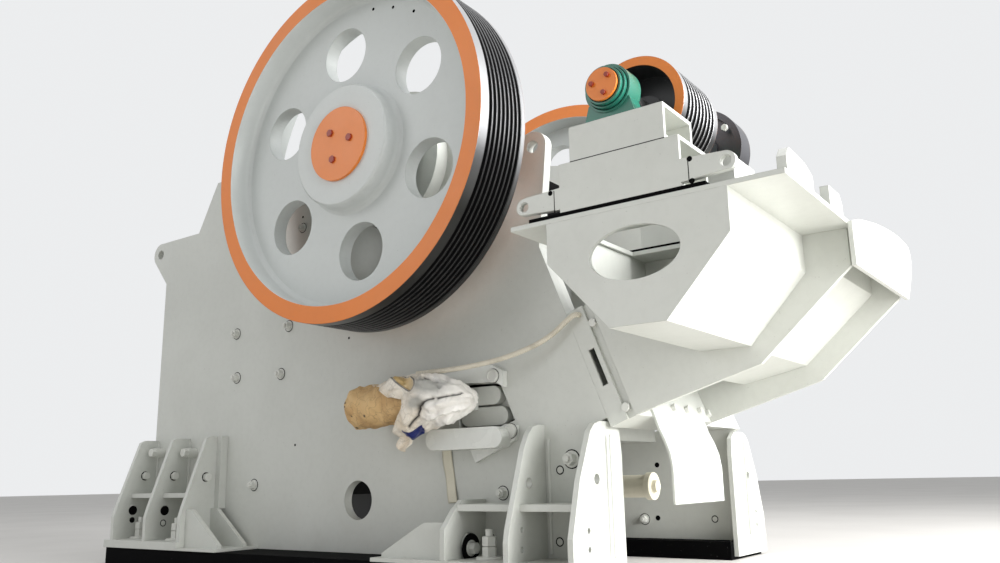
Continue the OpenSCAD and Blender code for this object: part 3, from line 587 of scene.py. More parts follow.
class Graph:
    """One node tree, with short ways to add what the finishes use."""

    def __init__(self, tree: bpy.types.NodeTree) -> None:
        """Keeps the tree."""
        self.tree = tree

    def feed(self, node: bpy.types.Node, values: dict[object, Value]) -> bpy.types.Node:
        """Feeds a node.

        Args:
            node: The node.
            values: What each input takes: another node's output, or a number or colour.

        Returns:
            The same node.
        """
        for key, value in values.items():
            socket = node.inputs[key]
            if isinstance(value, bpy.types.NodeSocket):
                self.tree.links.new(value, socket)
            elif isinstance(value, tuple) and socket.type == "RGBA":
                socket.default_value = (*value, 1.0)
            else:
                socket.default_value = value
        return node

    def add(self, kind: str, values: dict[object, Value] | None = None, **settings: Value) -> bpy.types.Node:
        """Adds a node.

        Args:
            kind: Type of node, without its leading ShaderNode.
            values: What each input takes.
            settings: The node's own settings.

        Returns:
            The node.
        """
        node = self.tree.nodes.new("ShaderNode" + kind)
        for name, value in settings.items():
            setattr(node, name, value)
        return self.feed(node, values or {})

    def maths(self, operation: str, a: Value, b: Value = 0.0, c: Value = 0.0) -> bpy.types.NodeSocket:
        """Works out one sum of two or three values.

        Args:
            operation: The sum.
            a: First value.
            b: Second value.
            c: Third value.

        Returns:
            The result.
        """
        return self.add("Math", {0: a, 1: b, 2: c}, operation=operation).outputs[0]

    def step(self, value: Value, low: float, high: float, full: float = 1.0) -> bpy.types.NodeSocket:
        """Maps low to high smoothly onto 0 to full, and holds the ends.

        Args:
            value: The value.
            low: Where the step starts.
            high: Where it ends; below low, the step falls.
            full: What it rises to.

        Returns:
            The step.
        """
        values = {0: value, 1: low, 2: high, 3: 0.0, 4: full}
        return self.add("MapRange", values, interpolation_type="SMOOTHSTEP").outputs[0]

    def times(self, *values: Value) -> bpy.types.NodeSocket:
        """Multiplies values, from the first on."""
        result = values[0]
        for value in values[1:]:
            result = self.maths("MULTIPLY", result, value)
        return result

    def blend(self, share: Value, a: Value, b: Value, kind: str = "MIX") -> bpy.types.NodeSocket:
        """Mixes two colours.

        Args:
            share: Share of the second colour.
            a: First colour.
            b: Second colour.
            kind: How they are mixed.

        Returns:
            The mixed colour.
        """
        return self.add("Mix", {0: share, 6: a, 7: b}, data_type="RGBA", blend_type=kind).outputs[2]

    def noise(self, scale: float, detail: float = 3.0, bent: float = 0.0, vector: Value = None) -> bpy.types.NodeSocket:
        """Noise on the object's own coordinates, from 0 to 1.

        Args:
            scale: Waves in a metre.
            detail: Number of finer layers.
            bent: How far it is distorted.
            vector: Places, if not the own coordinates.

        Returns:
            The noise.
        """
        values = {"Vector": vector or self.place(), "Scale": scale, "Detail": detail, "Distortion": bent}
        return self.add("TexNoise", values).outputs[0]

    def place(self) -> bpy.types.NodeSocket:
        """The object's own coordinates, in metres."""
        return self.add("TexCoord").outputs["Object"]

    def parts(self, vector: Value) -> list[bpy.types.NodeSocket]:
        """Splits a vector into its three numbers."""
        return list(self.add("SeparateXYZ", {0: vector}).outputs)

    def effect(self, name: str, values: dict[object, Value]) -> bpy.types.Node:
        """Places a shared effect with its own values."""
        node = self.tree.nodes.new("ShaderNodeGroup")
        node.node_tree = bpy.data.node_groups[name]
        return self.feed(node, values)

    def upward(self) -> bpy.types.NodeSocket:
        """How far a face looks up: the Z of its normal."""
        return self.parts(self.add("NewGeometry").outputs["Normal"])[2]


@dataclass(frozen=True)
class SharedEffects:
    """The node groups that several finishes use."""

    peel_scale: float = 190.0
    cloud_scale: float = 1.3

    def build(self) -> None:
        """Makes every group once."""
        self.grain()
        self.worn_edge()
        self.dust()
        self.turning()
        self.axle_radius()

    def start(self, name: str, inputs: dict[str, str], outputs: dict[str, str]) -> tuple[Graph, object, object]:
        """Opens a new group.

        Args:
            name: Name of the group.
            inputs: Type of each named input.
            outputs: Type of each named output.

        Returns:
            The group's graph, its input node and its output node.
        """
        group = bpy.data.node_groups.new(name, "ShaderNodeTree")
        for direction, sockets in (("INPUT", inputs), ("OUTPUT", outputs)):
            for label, kind in sockets.items():
                group.interface.new_socket(name=label, in_out=direction, socket_type="NodeSocket" + kind)
        return Graph(group), group.nodes.new("NodeGroupInput"), group.nodes.new("NodeGroupOutput")

    def grain(self) -> None:
        """Clouded colour and orange peel of a brushed or sprayed enamel."""
        graph, given, out = self.start(
            "Enamel grain", {"Colour": "Color", "Clouds": "Float", "Gloss": "Float"},
            {"Colour": "Color", "Roughness": "Float", "Height": "Float"})
        cloud = graph.step(graph.noise(self.cloud_scale, 5.0, 0.6), 0.35, 0.68)
        fleck = graph.step(graph.noise(26.0, 6.0), 0.42, 0.66)
        share = graph.times(graph.maths("MULTIPLY_ADD", fleck, 0.35, cloud), given.outputs["Clouds"])
        darker = graph.blend(1.0, given.outputs["Colour"], (0.80, 0.80, 0.79), "MULTIPLY")
        colour = graph.blend(share, given.outputs["Colour"], darker)
        specks = graph.step(graph.noise(95.0, 2.0), 0.72, 0.78)
        colour = graph.blend(graph.times(specks, 0.35), colour, (0.25, 0.24, 0.22))
        mean = graph.maths("SUBTRACT", given.outputs["Gloss"], 0.08)
        rough = graph.maths("MULTIPLY_ADD", graph.noise(9.0, 4.0), 0.16, mean)
        peel = graph.maths("MULTIPLY_ADD", graph.noise(9.0, 3.0), 3.0, graph.noise(self.peel_scale, 2.0))
        graph.feed(out, {"Colour": colour, "Roughness": rough, "Height": peel})

    def worn_edge(self) -> None:
        """Where a rounded edge has been rubbed: there the bevelled normal parts from the face's own."""
        graph, given, out = self.start(
            "Worn edge", {"Radius": "Float", "Amount": "Float"}, {"Mask": "Float", "Normal": "Vector"})
        bevel = graph.add("Bevel", {"Radius": given.outputs["Radius"]}, samples=6).outputs[0]
        face = graph.add("NewGeometry").outputs["True Normal"]
        along = graph.add("VectorMath", {0: bevel, 1: face}, operation="DOT_PRODUCT").outputs["Value"]
        patch = graph.step(graph.noise(17.0, 6.0, 0.4), 0.44, 0.62)
        mask = graph.times(graph.step(along, 0.995, 0.80), patch, given.outputs["Amount"])
        graph.feed(out, {"Mask": mask, "Normal": bevel})

    def dust(self) -> None:
        """Dust that lies on faces which point up, and on everything close to the floor."""
        graph, given, out = self.start("Shop dust", {"Amount": "Float"}, {"Mask": "Float"})
        up = graph.step(graph.upward(), 0.35, 0.95)
        low = graph.step(graph.parts(graph.place())[2], 0.60, 0.0, 0.28)
        patch = graph.step(graph.noise(6.5, 7.0, 0.5), 0.34, 0.70)
        graph.feed(out, {"Mask": graph.times(graph.maths("MAXIMUM", up, low), patch, given.outputs["Amount"])})

    def axle_radius(self) -> None:
        """Distance from an axle that runs along Y, and the distance from the machine's middle."""
        graph, given, out = self.start(
            "Axle radius", {"Axle X": "Float", "Axle Z": "Float"}, {"Radius": "Float", "Side": "Float"})
        x, y, z = graph.parts(graph.place())
        dx = graph.maths("SUBTRACT", x, given.outputs["Axle X"])
        dz = graph.maths("SUBTRACT", z, given.outputs["Axle Z"])
        square = graph.maths("MULTIPLY_ADD", dx, dx, graph.times(dz, dz))
        graph.feed(out, {"Radius": graph.maths("SQRT", square), "Side": graph.maths("ABSOLUTE", y)})

    def turning(self) -> None:
        """Fine rings that a turning tool leaves: they step along the axle on a rim and outwards on an end face."""
        graph, given, out = self.start(
            "Turned rings", {"Radius": "Float", "Side": "Float", "Pitch": "Float"},
            {"Height": "Float", "Streak": "Float"})
        across = graph.maths("ABSOLUTE", graph.parts(graph.add("NewGeometry").outputs["Normal"])[1])
        on_end = graph.maths("GREATER_THAN", across, 0.7)
        values = {0: on_end, 2: given.outputs["Side"], 3: given.outputs["Radius"]}
        way = graph.add("Mix", values, data_type="FLOAT").outputs[0]
        fine = graph.maths("SINE", graph.times(way, given.outputs["Pitch"]))
        band = graph.add("CombineXYZ", {0: graph.times(way, 60.0)}).outputs[0]
        graph.feed(out, {"Height": fine, "Streak": graph.noise(3.0, 5.0, vector=band)})


def new_material(name: str) -> tuple[bpy.types.Material, Graph, bpy.types.Node]:
    """Starts a material.

    Args:
        name: Name of the finish.

    Returns:
        The material, its graph and its Principled shader.
    """
    material = bpy.data.materials.new(name)
    material.use_nodes = True
    graph = Graph(material.node_tree)
    return material, graph, material.node_tree.nodes["Principled BSDF"]


def finish_shader(
    graph: Graph, shader: bpy.types.Node, links: dict[str, Value], height: Value, depth: float, normal: Value = None,
) -> None:
    """Feeds a Principled shader and its bump.

    Args:
        graph: The material's graph.
        shader: The Principled shader.
        links: What each of its inputs takes.
        height: Height that feeds the bump.
        depth: Distance of the bump in metres.
        normal: Normal that the bump starts from, if it isn't the face's own.
    """
    values = {"Height": height, "Distance": depth, "Strength": 1.0}
    if normal is not None:
        values["Normal"] = normal
    graph.feed(shader, {**links, "Normal": graph.add("Bump", values).outputs[0]})


@dataclass(frozen=True)
class Enamel:
    """A satin enamel over plate, with soft clouds, worn edges and a little dust."""

    name: str
    colour: Colour
    gloss: float = 0.40
    clouds: float = 0.30
    worn: float = 0.35
    dusty: float = 0.30
    edge_mm: float = 4.0
    coat: float = 0.12
    peel_mm: float = 0.05
    shine: float = 0.5

    def build(self) -> bpy.types.Material:
        """Makes the material."""
        material, graph, shader = new_material(self.name)
        colour, rough, height, edge = self.paint(graph, self.colour)
        links = {"Base Color": colour, "Roughness": rough, "Coat Weight": self.coat, "Coat Roughness": 0.28,
                 "Specular IOR Level": self.shine}
        finish_shader(graph, shader, links, height, self.peel_mm * MM, edge)
        return material

    def paint(self, graph: Graph, colour: Value) -> tuple[Value, Value, Value, Value]:
        """Lays the enamel's grain, wear and dust over a colour.

        Args:
            graph: The material's graph.
            colour: The paint's colour, plain or worked out.

        Returns:
            The colour, the roughness, the height of the grain and the rounded normal.
        """
        grain = graph.effect("Enamel grain", {"Colour": colour, "Clouds": self.clouds, "Gloss": self.gloss}).outputs
        edge = graph.effect("Worn edge", {"Radius": self.edge_mm * MM, "Amount": self.worn}).outputs
        dust = graph.effect("Shop dust", {"Amount": self.dusty}).outputs["Mask"]
        bare = graph.blend(edge["Mask"], grain["Colour"], srgb(96, 94, 88))
        rough = graph.maths("MULTIPLY_ADD", dust, 0.35, grain["Roughness"])
        return graph.blend(dust, bare, srgb(168, 160, 146)), rough, grain["Height"], edge["Normal"]


@dataclass(frozen=True)
class ChamberShadeEnamel(Enamel):
    """The frame's enamel, with black painted shade on it low down inside the frame's front end."""

    facing: Place = (0.0, -1.0, 0.0)
    painted_shade: Colour = (0.006, 0.006, 0.006)
    front: float = -1.75
    rear: float = -0.85
    top: float = 0.9

    def paint(self, graph: Graph, colour: Value) -> tuple[Value, Value, Value, Value]:
        """Lays the enamel, then black painted shade on faces that look one way, inside a box whose sides are steps of
        the place.

        Args:
            graph: The material's graph.
            colour: The paint's colour, plain or worked out.

        Returns:
            The colour, the roughness, the height of the grain and the rounded normal.
        """
        dull, rough, height, edge = super().paint(graph, colour)
        x, _, z = graph.parts(graph.place())
        normal = graph.add("NewGeometry").outputs["Normal"]
        looks = graph.add("VectorMath", {0: normal, 1: self.facing}, operation="DOT_PRODUCT").outputs["Value"]
        inside = graph.times(
            graph.step(looks, 0.3, 0.6), graph.step(x, self.rear + 0.1, self.rear),
            graph.step(x, self.front - 0.05, self.front), graph.step(z, self.top + 0.2, self.top))
        # Painted shade: black over the enamel on faces inside the box.
        return graph.blend(inside, dull, self.painted_shade), rough, height, edge


@dataclass(frozen=True)
class Rim:
    """The sizes of a wheel's rim, in metres: its grooves start a land's width behind its face."""

    axle: Pair
    radius: float
    ring_from: float
    back: float
    land: float
    grooved_to: float
    grooves: int = 8
    face: float = 1.405
    pitch: float = 0.037
    depth: float = 0.026
    lip: float = 0.0006
    sunk: float = 0.0015

    def profile(self, side: float) -> list[Pair]:
        """The closed outline of the rim: its lands and grooves, then back along an inner wall below them."""
        well, inner, end = self.radius - self.depth, self.radius - self.depth - 0.008, self.back + self.lip
        line = [(self.radius, self.face - self.lip)]
        for index in range(self.grooves):
            start = self.face - self.land - index * self.pitch
            line += [(self.radius, start - 0.005), (well, start - 0.012),
                     (well, start - self.pitch + 0.012), (self.radius, start - self.pitch + 0.005)]
        line += [(self.radius, end), (inner, end), (inner, self.face - self.lip)]
        return [(radius, side * y) for radius, y in line]

    def build(self, wheel: bpy.types.Object, node: str, side: float, body: Body, slot: str) -> None:
        """Turns the rim, and sinks the wheel's own rim a little below it.

        Args:
            wheel: The wheel's smooth copy.
            node: Name of the wheel's node.
            side: 1 on the far side of the machine, -1 on the near side.
            body: The body that the wheel rides on.
            slot: The record's material slot; not used.
        """
        make_piece(node + "_rim", turned_ring(self.profile(side), self.axle), wheel.data.materials[0], body, 20.0)
        points = np.empty(len(wheel.data.vertices) * 3)
        wheel.data.vertices.foreach_get("co", points)
        points = points.reshape(-1, 3)
        arm = points[:, [0, 2]] - self.axle
        radius = np.linalg.norm(arm, axis=1)
        rim = radius > self.radius - self.depth - 0.001
        arm[rim] *= ((radius[rim] - self.sunk) / radius[rim])[:, None]
        points[:, [0, 2]] = arm + self.axle
        wheel.data.vertices.foreach_set("co", points.ravel())
        wheel.data.update()


FLYWHEEL_RIM = Rim(AXLE, 1.050, 0.951, 1.010, 0.066, 1.043)
PULLEY_RIM = Rim((2.4055, 2.11), 0.236, 0.194, 1.035, 0.036, 1.073)


@dataclass(frozen=True)
class WheelEnamel:
    """A wheel in pale enamel: an orange ring on its face, a bright turned band and black belt grooves, with a painted
    dark reflection where its steel faces down.
    """

    name: str
    base: Enamel
    rim: Rim
    # Colour of the groove floors, and of the painted dark reflection on the steel that faces down.
    well: Colour
    grooved: bool = True
    groove_darkening: float = 0.72

    def build(self) -> bpy.types.Material:
        """Makes the material: each mask is a step of the radius or of the place along the axle, but the painted
        reflection is a step of the normal's height.
        """
        material, graph, shader = new_material(self.name)
        rim = self.rim
        axle = graph.effect("Axle radius", {"Axle X": rim.axle[0], "Axle Z": rim.axle[1]}).outputs
        radius, side = axle["Radius"], axle["Side"]
        wander = graph.maths("MULTIPLY_ADD", graph.noise(3.0, 2.0), 0.006, -0.003)
        on_face = graph.maths("MAXIMUM", graph.step(side, rim.face - 0.0015, rim.face - 0.0005),
                              graph.step(side, rim.back + 0.0015, rim.back + 0.0005))
        edge_radius = graph.maths("ADD", radius, wander)
        ring = graph.times(on_face, graph.step(edge_radius, rim.ring_from - 0.0006, rim.ring_from + 0.0006))
        colour, rough, height, edge = self.base.paint(graph, graph.blend(ring, self.base.colour, ORANGE))
        floor = rim.radius - rim.depth
        on_rim = graph.times(graph.maths("SUBTRACT", 1.0, on_face), graph.step(radius, floor - 0.004, floor - 0.002))
        turned = graph.effect("Turned rings", {"Radius": radius, "Side": side, "Pitch": 5200.0}).outputs
        steel = graph.blend(turned["Streak"], (0.42, 0.42, 0.43), (0.72, 0.72, 0.72))
        # Painted reflection: the steel darkens towards the well colour where it faces down.
        steel = graph.blend(graph.times(graph.step(graph.upward(), -0.05, -0.50), 0.85), steel, self.well)
        start = rim.face - rim.land
        grooves = graph.times(graph.step(side, start - 0.0005, start - 0.0015),
                              graph.step(side, rim.grooved_to - 0.002, rim.grooved_to + 0.001)) if self.grooved else 0.0
        black = graph.times(grooves, graph.step(radius, rim.radius - 0.0006, rim.radius - 0.0030))
        # Darker across the whole grooved band.
        steel = graph.blend(graph.times(grooves, self.groove_darkening), steel, self.well)
        metal = graph.times(on_rim, graph.maths("MULTIPLY_ADD", black, -0.75, 1.0))
        bright = graph.maths("MULTIPLY_ADD", turned["Streak"], 0.2, 0.22)
        links = {"Base Color": graph.blend(on_rim, colour, graph.blend(black, steel, self.well)), "Metallic": metal,
                 "Roughness": graph.add("Mix", {0: on_rim, 2: rough, 3: bright}, data_type="FLOAT").outputs[0]}
        finish_shader(graph, shader, links, height, self.base.peel_mm * MM, edge)
        return material


@dataclass(frozen=True)
class TurnedSteel:
    """Bright steel from the lathe."""

    name: str
    colour: Colour
    axle: Pair
    roughness: float = 0.30
    pitch: float = 4200.0

    def build(self) -> bpy.types.Material:
        """Makes the material."""
        material, graph, shader = new_material(self.name)
        axle = graph.effect("Axle radius", {"Axle X": self.axle[0], "Axle Z": self.axle[1]}).outputs
        rings = {"Radius": axle["Radius"], "Side": axle["Side"], "Pitch": self.pitch}
        turned = graph.effect("Turned rings", rings).outputs
        edge = graph.effect("Worn edge", {"Radius": 2.0 * MM, "Amount": 0.5})
        colour = graph.blend(turned["Streak"], tuple(0.62 * part for part in self.colour), self.colour)
        stain = graph.step(graph.noise(8.0, 6.0), 0.55, 0.75, 0.35)
        rough = graph.maths("MULTIPLY_ADD", turned["Streak"], 0.18, self.roughness - 0.06)
        links = {"Base Color": graph.blend(stain, colour, srgb(120, 108, 92)), "Roughness": rough, "Metallic": 1.0}
        finish_shader(graph, shader, links, turned["Height"], 0.01 * MM, edge.outputs["Normal"])
        return material


@dataclass(frozen=True)
class Casting:
    """A sand casting: coarse skin, pits and rubbed edges."""

    name: str
    colour: Colour
    metallic: float = 0.75
    roughness: float = 0.55
    depth_mm: float = 0.6
    rubbed: Colour = (0.55, 0.55, 0.55)
    wear: float = 0.6

    def build(self) -> bpy.types.Material:
        """Makes the material."""
        material, graph, shader = new_material(self.name)
        skin = graph.maths("MULTIPLY_ADD", graph.noise(70.0, 6.0), 0.6, graph.noise(16.0, 5.0, 0.3))
        edge = graph.effect("Worn edge", {"Radius": 5.0 * MM, "Amount": self.wear}).outputs
        cloud = graph.step(graph.noise(5.0, 6.0), 0.35, 0.7)
        colour = graph.blend(cloud, self.colour, tuple(0.72 * part for part in self.colour))
        dust = graph.effect("Shop dust", {"Amount": 0.35}).outputs["Mask"]
        colour = graph.blend(dust, graph.blend(edge["Mask"], colour, self.rubbed), srgb(140, 132, 120))
        rough = graph.maths("MULTIPLY_ADD", graph.noise(22.0, 4.0), 0.2, self.roughness - 0.1)
        links = {"Base Color": colour, "Roughness": rough, "Metallic": self.metallic}
        finish_shader(graph, shader, links, skin, self.depth_mm * MM, edge["Normal"])
        return material


@dataclass(frozen=True)
class Wrapping:
    """Crumpled packing paper or film: creased, with painted shade along its folds, and with the piece's own painted
    masks, some of which paint light and shade.
    """

    name: str
    colour: Colour
    shade: Colour
    lit: Colour = (0.86, 0.85, 0.82)
    roughness: float = 0.7
    crease_mm: float = 1.0
    clear: float = 0.0

    def build(self) -> bpy.types.Material:
        """Makes the material: creases are the borders between Voronoi cells on warped coordinates, and painted shade
        darkens the larger ones.
        """
        material, graph, shader = new_material(self.name)
        warp = graph.add("TexNoise", {"Vector": graph.place(), "Scale": 9.0, "Detail": 4.0}).outputs[1]
        warped = {0: warp, 1: (0.16, 0.16, 0.16), 2: graph.place()}
        place = graph.add("VectorMath", warped, operation="MULTIPLY_ADD").outputs[0]
        cells, small = (
            graph.add("TexVoronoi", {"Vector": place, "Scale": scale}, feature="DISTANCE_TO_EDGE").outputs[0]
            for scale in (15.0, 42.0))
        crease = graph.maths("MULTIPLY_ADD", graph.step(small, 0.0, 0.2), 0.35, graph.step(cells, 0.0, 0.35))
        stain = graph.step(graph.noise(7.0, 5.0, 0.8), 0.36, 0.66)
        colour = graph.blend(stain, self.colour, self.shade)
        # Painted shade: darker along the borders of the larger cells.
        colour = graph.blend(graph.step(cells, 0.05, 0.0, 0.45), colour, tuple(0.55 * part for part in self.shade))
        # From the piece's masks: bright is painted light, dark is painted shade in folds along with other dark lines
        # and marks, tan shows paper and clear shows see-through film.
        paints = (("bright", 0.8, self.lit), ("tan", 1.0, srgb(206, 176, 120)), ("clear", 0.85, srgb(150, 150, 144)),
                  ("dark", 1.0, srgb(30, 27, 22)))
        for label, share, paint in paints:
            mask = graph.add("Attribute", attribute_name=label).outputs["Fac"]
            colour = graph.blend(graph.times(mask, share), colour, paint)
        height = graph.maths("MULTIPLY_ADD", graph.noise(260.0, 3.0), 0.06, crease)
        rough = graph.maths("MULTIPLY_ADD", stain, 0.12, self.roughness - 0.06)
        links = {"Base Color": colour, "Roughness": rough, "Coat Weight": self.clear, "Coat Roughness": 0.2}
        finish_shader(graph, shader, links, height, self.crease_mm * MM)
        return material


@dataclass(frozen=True)
class CordSkin:
    """The off-white braided skin of the cord."""

    name: str
    colour: Colour

    def build(self) -> bpy.types.Material:
        """Makes the material: two sets of slanting strands from sines of the cord's own places, with painted shade in
        the hollows between them.
        """
        material, graph, shader = new_material(self.name)
        x, _, z = graph.parts(graph.place())
        left, right = (graph.maths("SINE", graph.maths("MULTIPLY_ADD", x, 900.0, graph.times(z, slant)))
                       for slant in (760.0, -760.0))
        braid = graph.maths("MAXIMUM", left, right)
        soil = graph.step(graph.noise(13.0, 5.0), 0.45, 0.7, 0.35)
        colour = graph.blend(soil, self.colour, srgb(158, 150, 132))
        # Painted shade: darker in the hollows between the strands.
        colour = graph.blend(graph.step(braid, 0.2, -0.5, 0.5), colour, srgb(132, 126, 112))
        finish_shader(graph, shader, {"Base Color": colour, "Roughness": 0.78}, braid, 0.5 * MM)
        return material


@dataclass
class Paintshop:
    """Every finish of the machine, made once."""

    shelf: dict[str, bpy.types.Material] = field(default_factory=dict)

    def build(self) -> None:
        """Makes the shared effects and all finishes."""
        SharedEffects().build()
        wheel = Enamel("wheel enamel", srgb(200, 204, 202), clouds=0.22, worn=0.25, dusty=0.15)
        black = srgb(20, 20, 21)
        plain = {"worn": 0.0, "coat": 0.0}
        finishes = [
            Enamel("pale grey enamel", GREY),
            # The window bracket's enamel is a lighter copy of the frame's grey: painted highlight.
            Enamel("painted highlight enamel", srgb(226, 228, 223), gloss=0.26, coat=0.4),
            Enamel("cap orange enamel", ORANGE, gloss=0.36, clouds=0.25),
            ChamberShadeEnamel("side chamber shade enamel", GREY),
            ChamberShadeEnamel("front chamber shade enamel", GREY, facing=(1.0, 0.0, 0.0)),
            Enamel("bolt red enamel", srgb(140, 40, 18), clouds=0.2),
            Enamel("bearing green enamel", srgb(36, 112, 94), gloss=0.26, clouds=0.35, coat=0.5, peel_mm=0.12),
            Enamel("bed black and painted shade enamel", srgb(7, 7, 8), gloss=0.75, worn=0.05, dusty=0.0, coat=0.0, shine=0.04),
            # The bolts' enamel is lighter than the frame's grey: painted highlight.
            Enamel("painted highlight bolt enamel", srgb(214, 215, 209), gloss=0.3, worn=0.4, edge_mm=1.5),
            Enamel("weld paint", srgb(206, 208, 202), gloss=0.42, clouds=0.4, edge_mm=1.0),
            Enamel("shadow black", srgb(12, 12, 12), gloss=0.8, clouds=0.1, dusty=0.0, shine=0.05, **plain),
            WheelEnamel("drive wheel enamel", wheel, FLYWHEEL_RIM, black),
            WheelEnamel("balance wheel enamel", wheel, FLYWHEEL_RIM, black, grooved=False),
            WheelEnamel("pulley enamel", Enamel("pulley well", srgb(30, 31, 33), worn=0.2), PULLEY_RIM,
                        srgb(18, 18, 19), groove_darkening=0.1),
            TurnedSteel("turned shaft steel", (0.60, 0.60, 0.60), FLYWHEEL_RIM.axle),
            TurnedSteel("turned countershaft steel", (0.62, 0.62, 0.62), PULLEY_RIM.axle),
            TurnedSteel("drive disc steel", (0.14, 0.14, 0.15), PULLEY_RIM.axle, 0.38, 900.0),
            Casting("manganese casting", srgb(120, 118, 116)),
            Wrapping("brown packing paper", srgb(212, 178, 126), srgb(188, 152, 104)),
            Wrapping("white packing film", srgb(234, 226, 212), srgb(222, 208, 186), roughness=0.5, clear=0.3),
            Enamel("blue tape", srgb(22, 34, 104), gloss=0.3, worn=0.0, dusty=0.1, coat=0.3),
            Enamel("cream strap", srgb(222, 217, 198), gloss=0.6, dusty=0.1, **plain),
            CordSkin("cord skin", srgb(228, 221, 204)),
        ]
        for finish in finishes:
            self.shelf[finish.name] = finish.build()
            LOG.info("finish %s", finish.name)

    def dress_nodes(self) -> None:
        """Gives every CAD node the finish of its record slot, or its own where it has one."""
        by_slot = {
            "frame_paint": "pale grey enamel", "wheel_paint": "drive wheel enamel",
            "cap_orange": "cap orange enamel", "bearing_green": "bearing green enamel",
            "bed_black": "bed black and painted shade enamel", "manganese_cast": "manganese casting",
            "bright_steel": "turned shaft steel", "paper_tan": "brown packing paper",
            "film_white": "white packing film", "hose_white": "cord skin"}
        # The swing jaw takes the black finish as painted shade, so the frame's inside looks dark through the openings
        # in the side plate.
        own = {
            "swing_jaw": "bed black and painted shade enamel", "side_plate_far": "side chamber shade enamel",
            "front_wall": "front chamber shade enamel", "tension_rod": "cream strap", "window_bracket": "painted highlight enamel"}
        for part in frame["record"]["subparts"]:
            name = part["node"]
            materials = frame["nodes"][name].data.materials
            materials.clear()
            materials.append(self.shelf[own.get(name, by_slot[part["material_slot"]])])


@dataclass
class BoltSet:
    """Fasteners of one kind and finish, gathered into one piece."""

    name: str
    kind: Fastener
    body: Body = Body.FRAME
    finish: str = "painted highlight bolt enamel"
    slot: str = "frame_paint"
    places: list[Place] = field(default_factory=list)
    ways: list[Place] = field(default_factory=list)
    sizes: list[float] = field(default_factory=list)

    @staticmethod
    def mouths(name: str, body: Body = Body.FRAME) -> "BoltSet":
        """Starts a set of black discs that paint the shadow in the mouths of holes."""
        return BoltSet(name, Fastener.HOLE, body, "shadow black", "bed_black")

    def put(self, places: Sequence[Place], way: Way, size: float, pair: bool = False) -> None:
        """Adds fasteners.

        Args:
            places: Their seats in millimetres from the shaft.
            way: Their direction.
            size: Their width across flats in millimetres.
            pair: Whether each has a mirror image on the far side.
        """
        for place in places:
            x, y, z = at_shaft(*place)
            for side in (1.0, -1.0) if pair else (1.0,):
                self.places.append((x, side * y, z))
                self.ways.append((way.value[0], side * way.value[1], way.value[2]))
                self.sizes.append(size * MM)

    def seats(self, shop: Paintshop, share: float = 0.86) -> None:
        """Puts a black disc of painted shadow under each fastener, whose radius is a share of the fastener's width."""
        sizes, spins = 2.0 * share * np.array(self.sizes), np.zeros(len(self.places))
        # Painted contact shadow round each fastener.
        discs = fastener(Fastener.HOLE).copied(np.array(self.places), np.array(self.ways), sizes, spins)
        make_piece(self.name + "_seats", discs, shop.shelf["shadow black"], self.body)

    def build(self, shop: Paintshop) -> None:
        """Makes the piece; each fastener is turned by an angle drawn from a fixed seed."""
        spins = np.random.default_rng(len(self.places)).uniform(0.0, math.tau, len(self.places))
        surface = fastener(self.kind).copied(np.array(self.places), np.array(self.ways), np.array(self.sizes), spins)
        make_piece(self.name, surface, shop.shelf[self.finish], self.body, 25.0)


@dataclass
class PlateFrame:
    """The fasteners, plugs and small holes of the two side plates, as X and Z from the shaft."""

    studs: Places = (
        (-1508, -880, 46), (-965, -887, 46), (-1485, -1189, 46), (-1028, -1200, 46), (-1256, -1911, 46),
        (1187, -1813, 56), (759, -1975, 44), (669, -2213, 44), (-1743, -2191, 44), (-858, -230, 40))
    plugs: Spots = ((1115, -1865), (1100, -2212))
    holes: Spots = ((-868, -1667), (-401, -1029), (-862, -153))
    inner_face: float = 820.0
    inner_holes: Spots = ((807, -2179), (822, -1832))
    inner_bolt: Pair = (710, -2187)
    inner_plug: Pair = (1208, -2182)
    plug_width: float = 46.0
    hole_width: float = 16.0
    inner_hole_width: float = 34.0
    inner_bolt_width: float = 44.0

    def build(self, shop: Paintshop) -> None:
        """Makes them on the near plate and, mirrored, on the far one; a few show on the far plate's inner face."""
        studs = BoltSet("side_plate_studs", Fastener.STUD)
        for x, z, size in self.studs:
            studs.put([(x, SIDE, z)], Way.NEAR, size, pair=True)
        studs.put(on_plate([self.inner_bolt], self.inner_face), Way.NEAR, self.inner_bolt_width)
        studs.seats(shop)
        studs.build(shop)
        rings, plugs = BoltSet.mouths("side_plate_holes"), BoltSet("side_plate_plugs", Fastener.PLUG)
        for part in (rings, plugs):
            part.put(on_plate(self.plugs, SIDE), Way.NEAR, self.plug_width, pair=True)
        rings.put(on_plate(self.holes, SIDE), Way.NEAR, self.hole_width, pair=True)
        rings.put(on_plate(self.inner_holes, self.inner_face), Way.NEAR, self.inner_hole_width)
        for part in (rings, plugs):
            part.put(on_plate([self.inner_plug], self.inner_face), Way.NEAR, self.plug_width)
            part.build(shop)


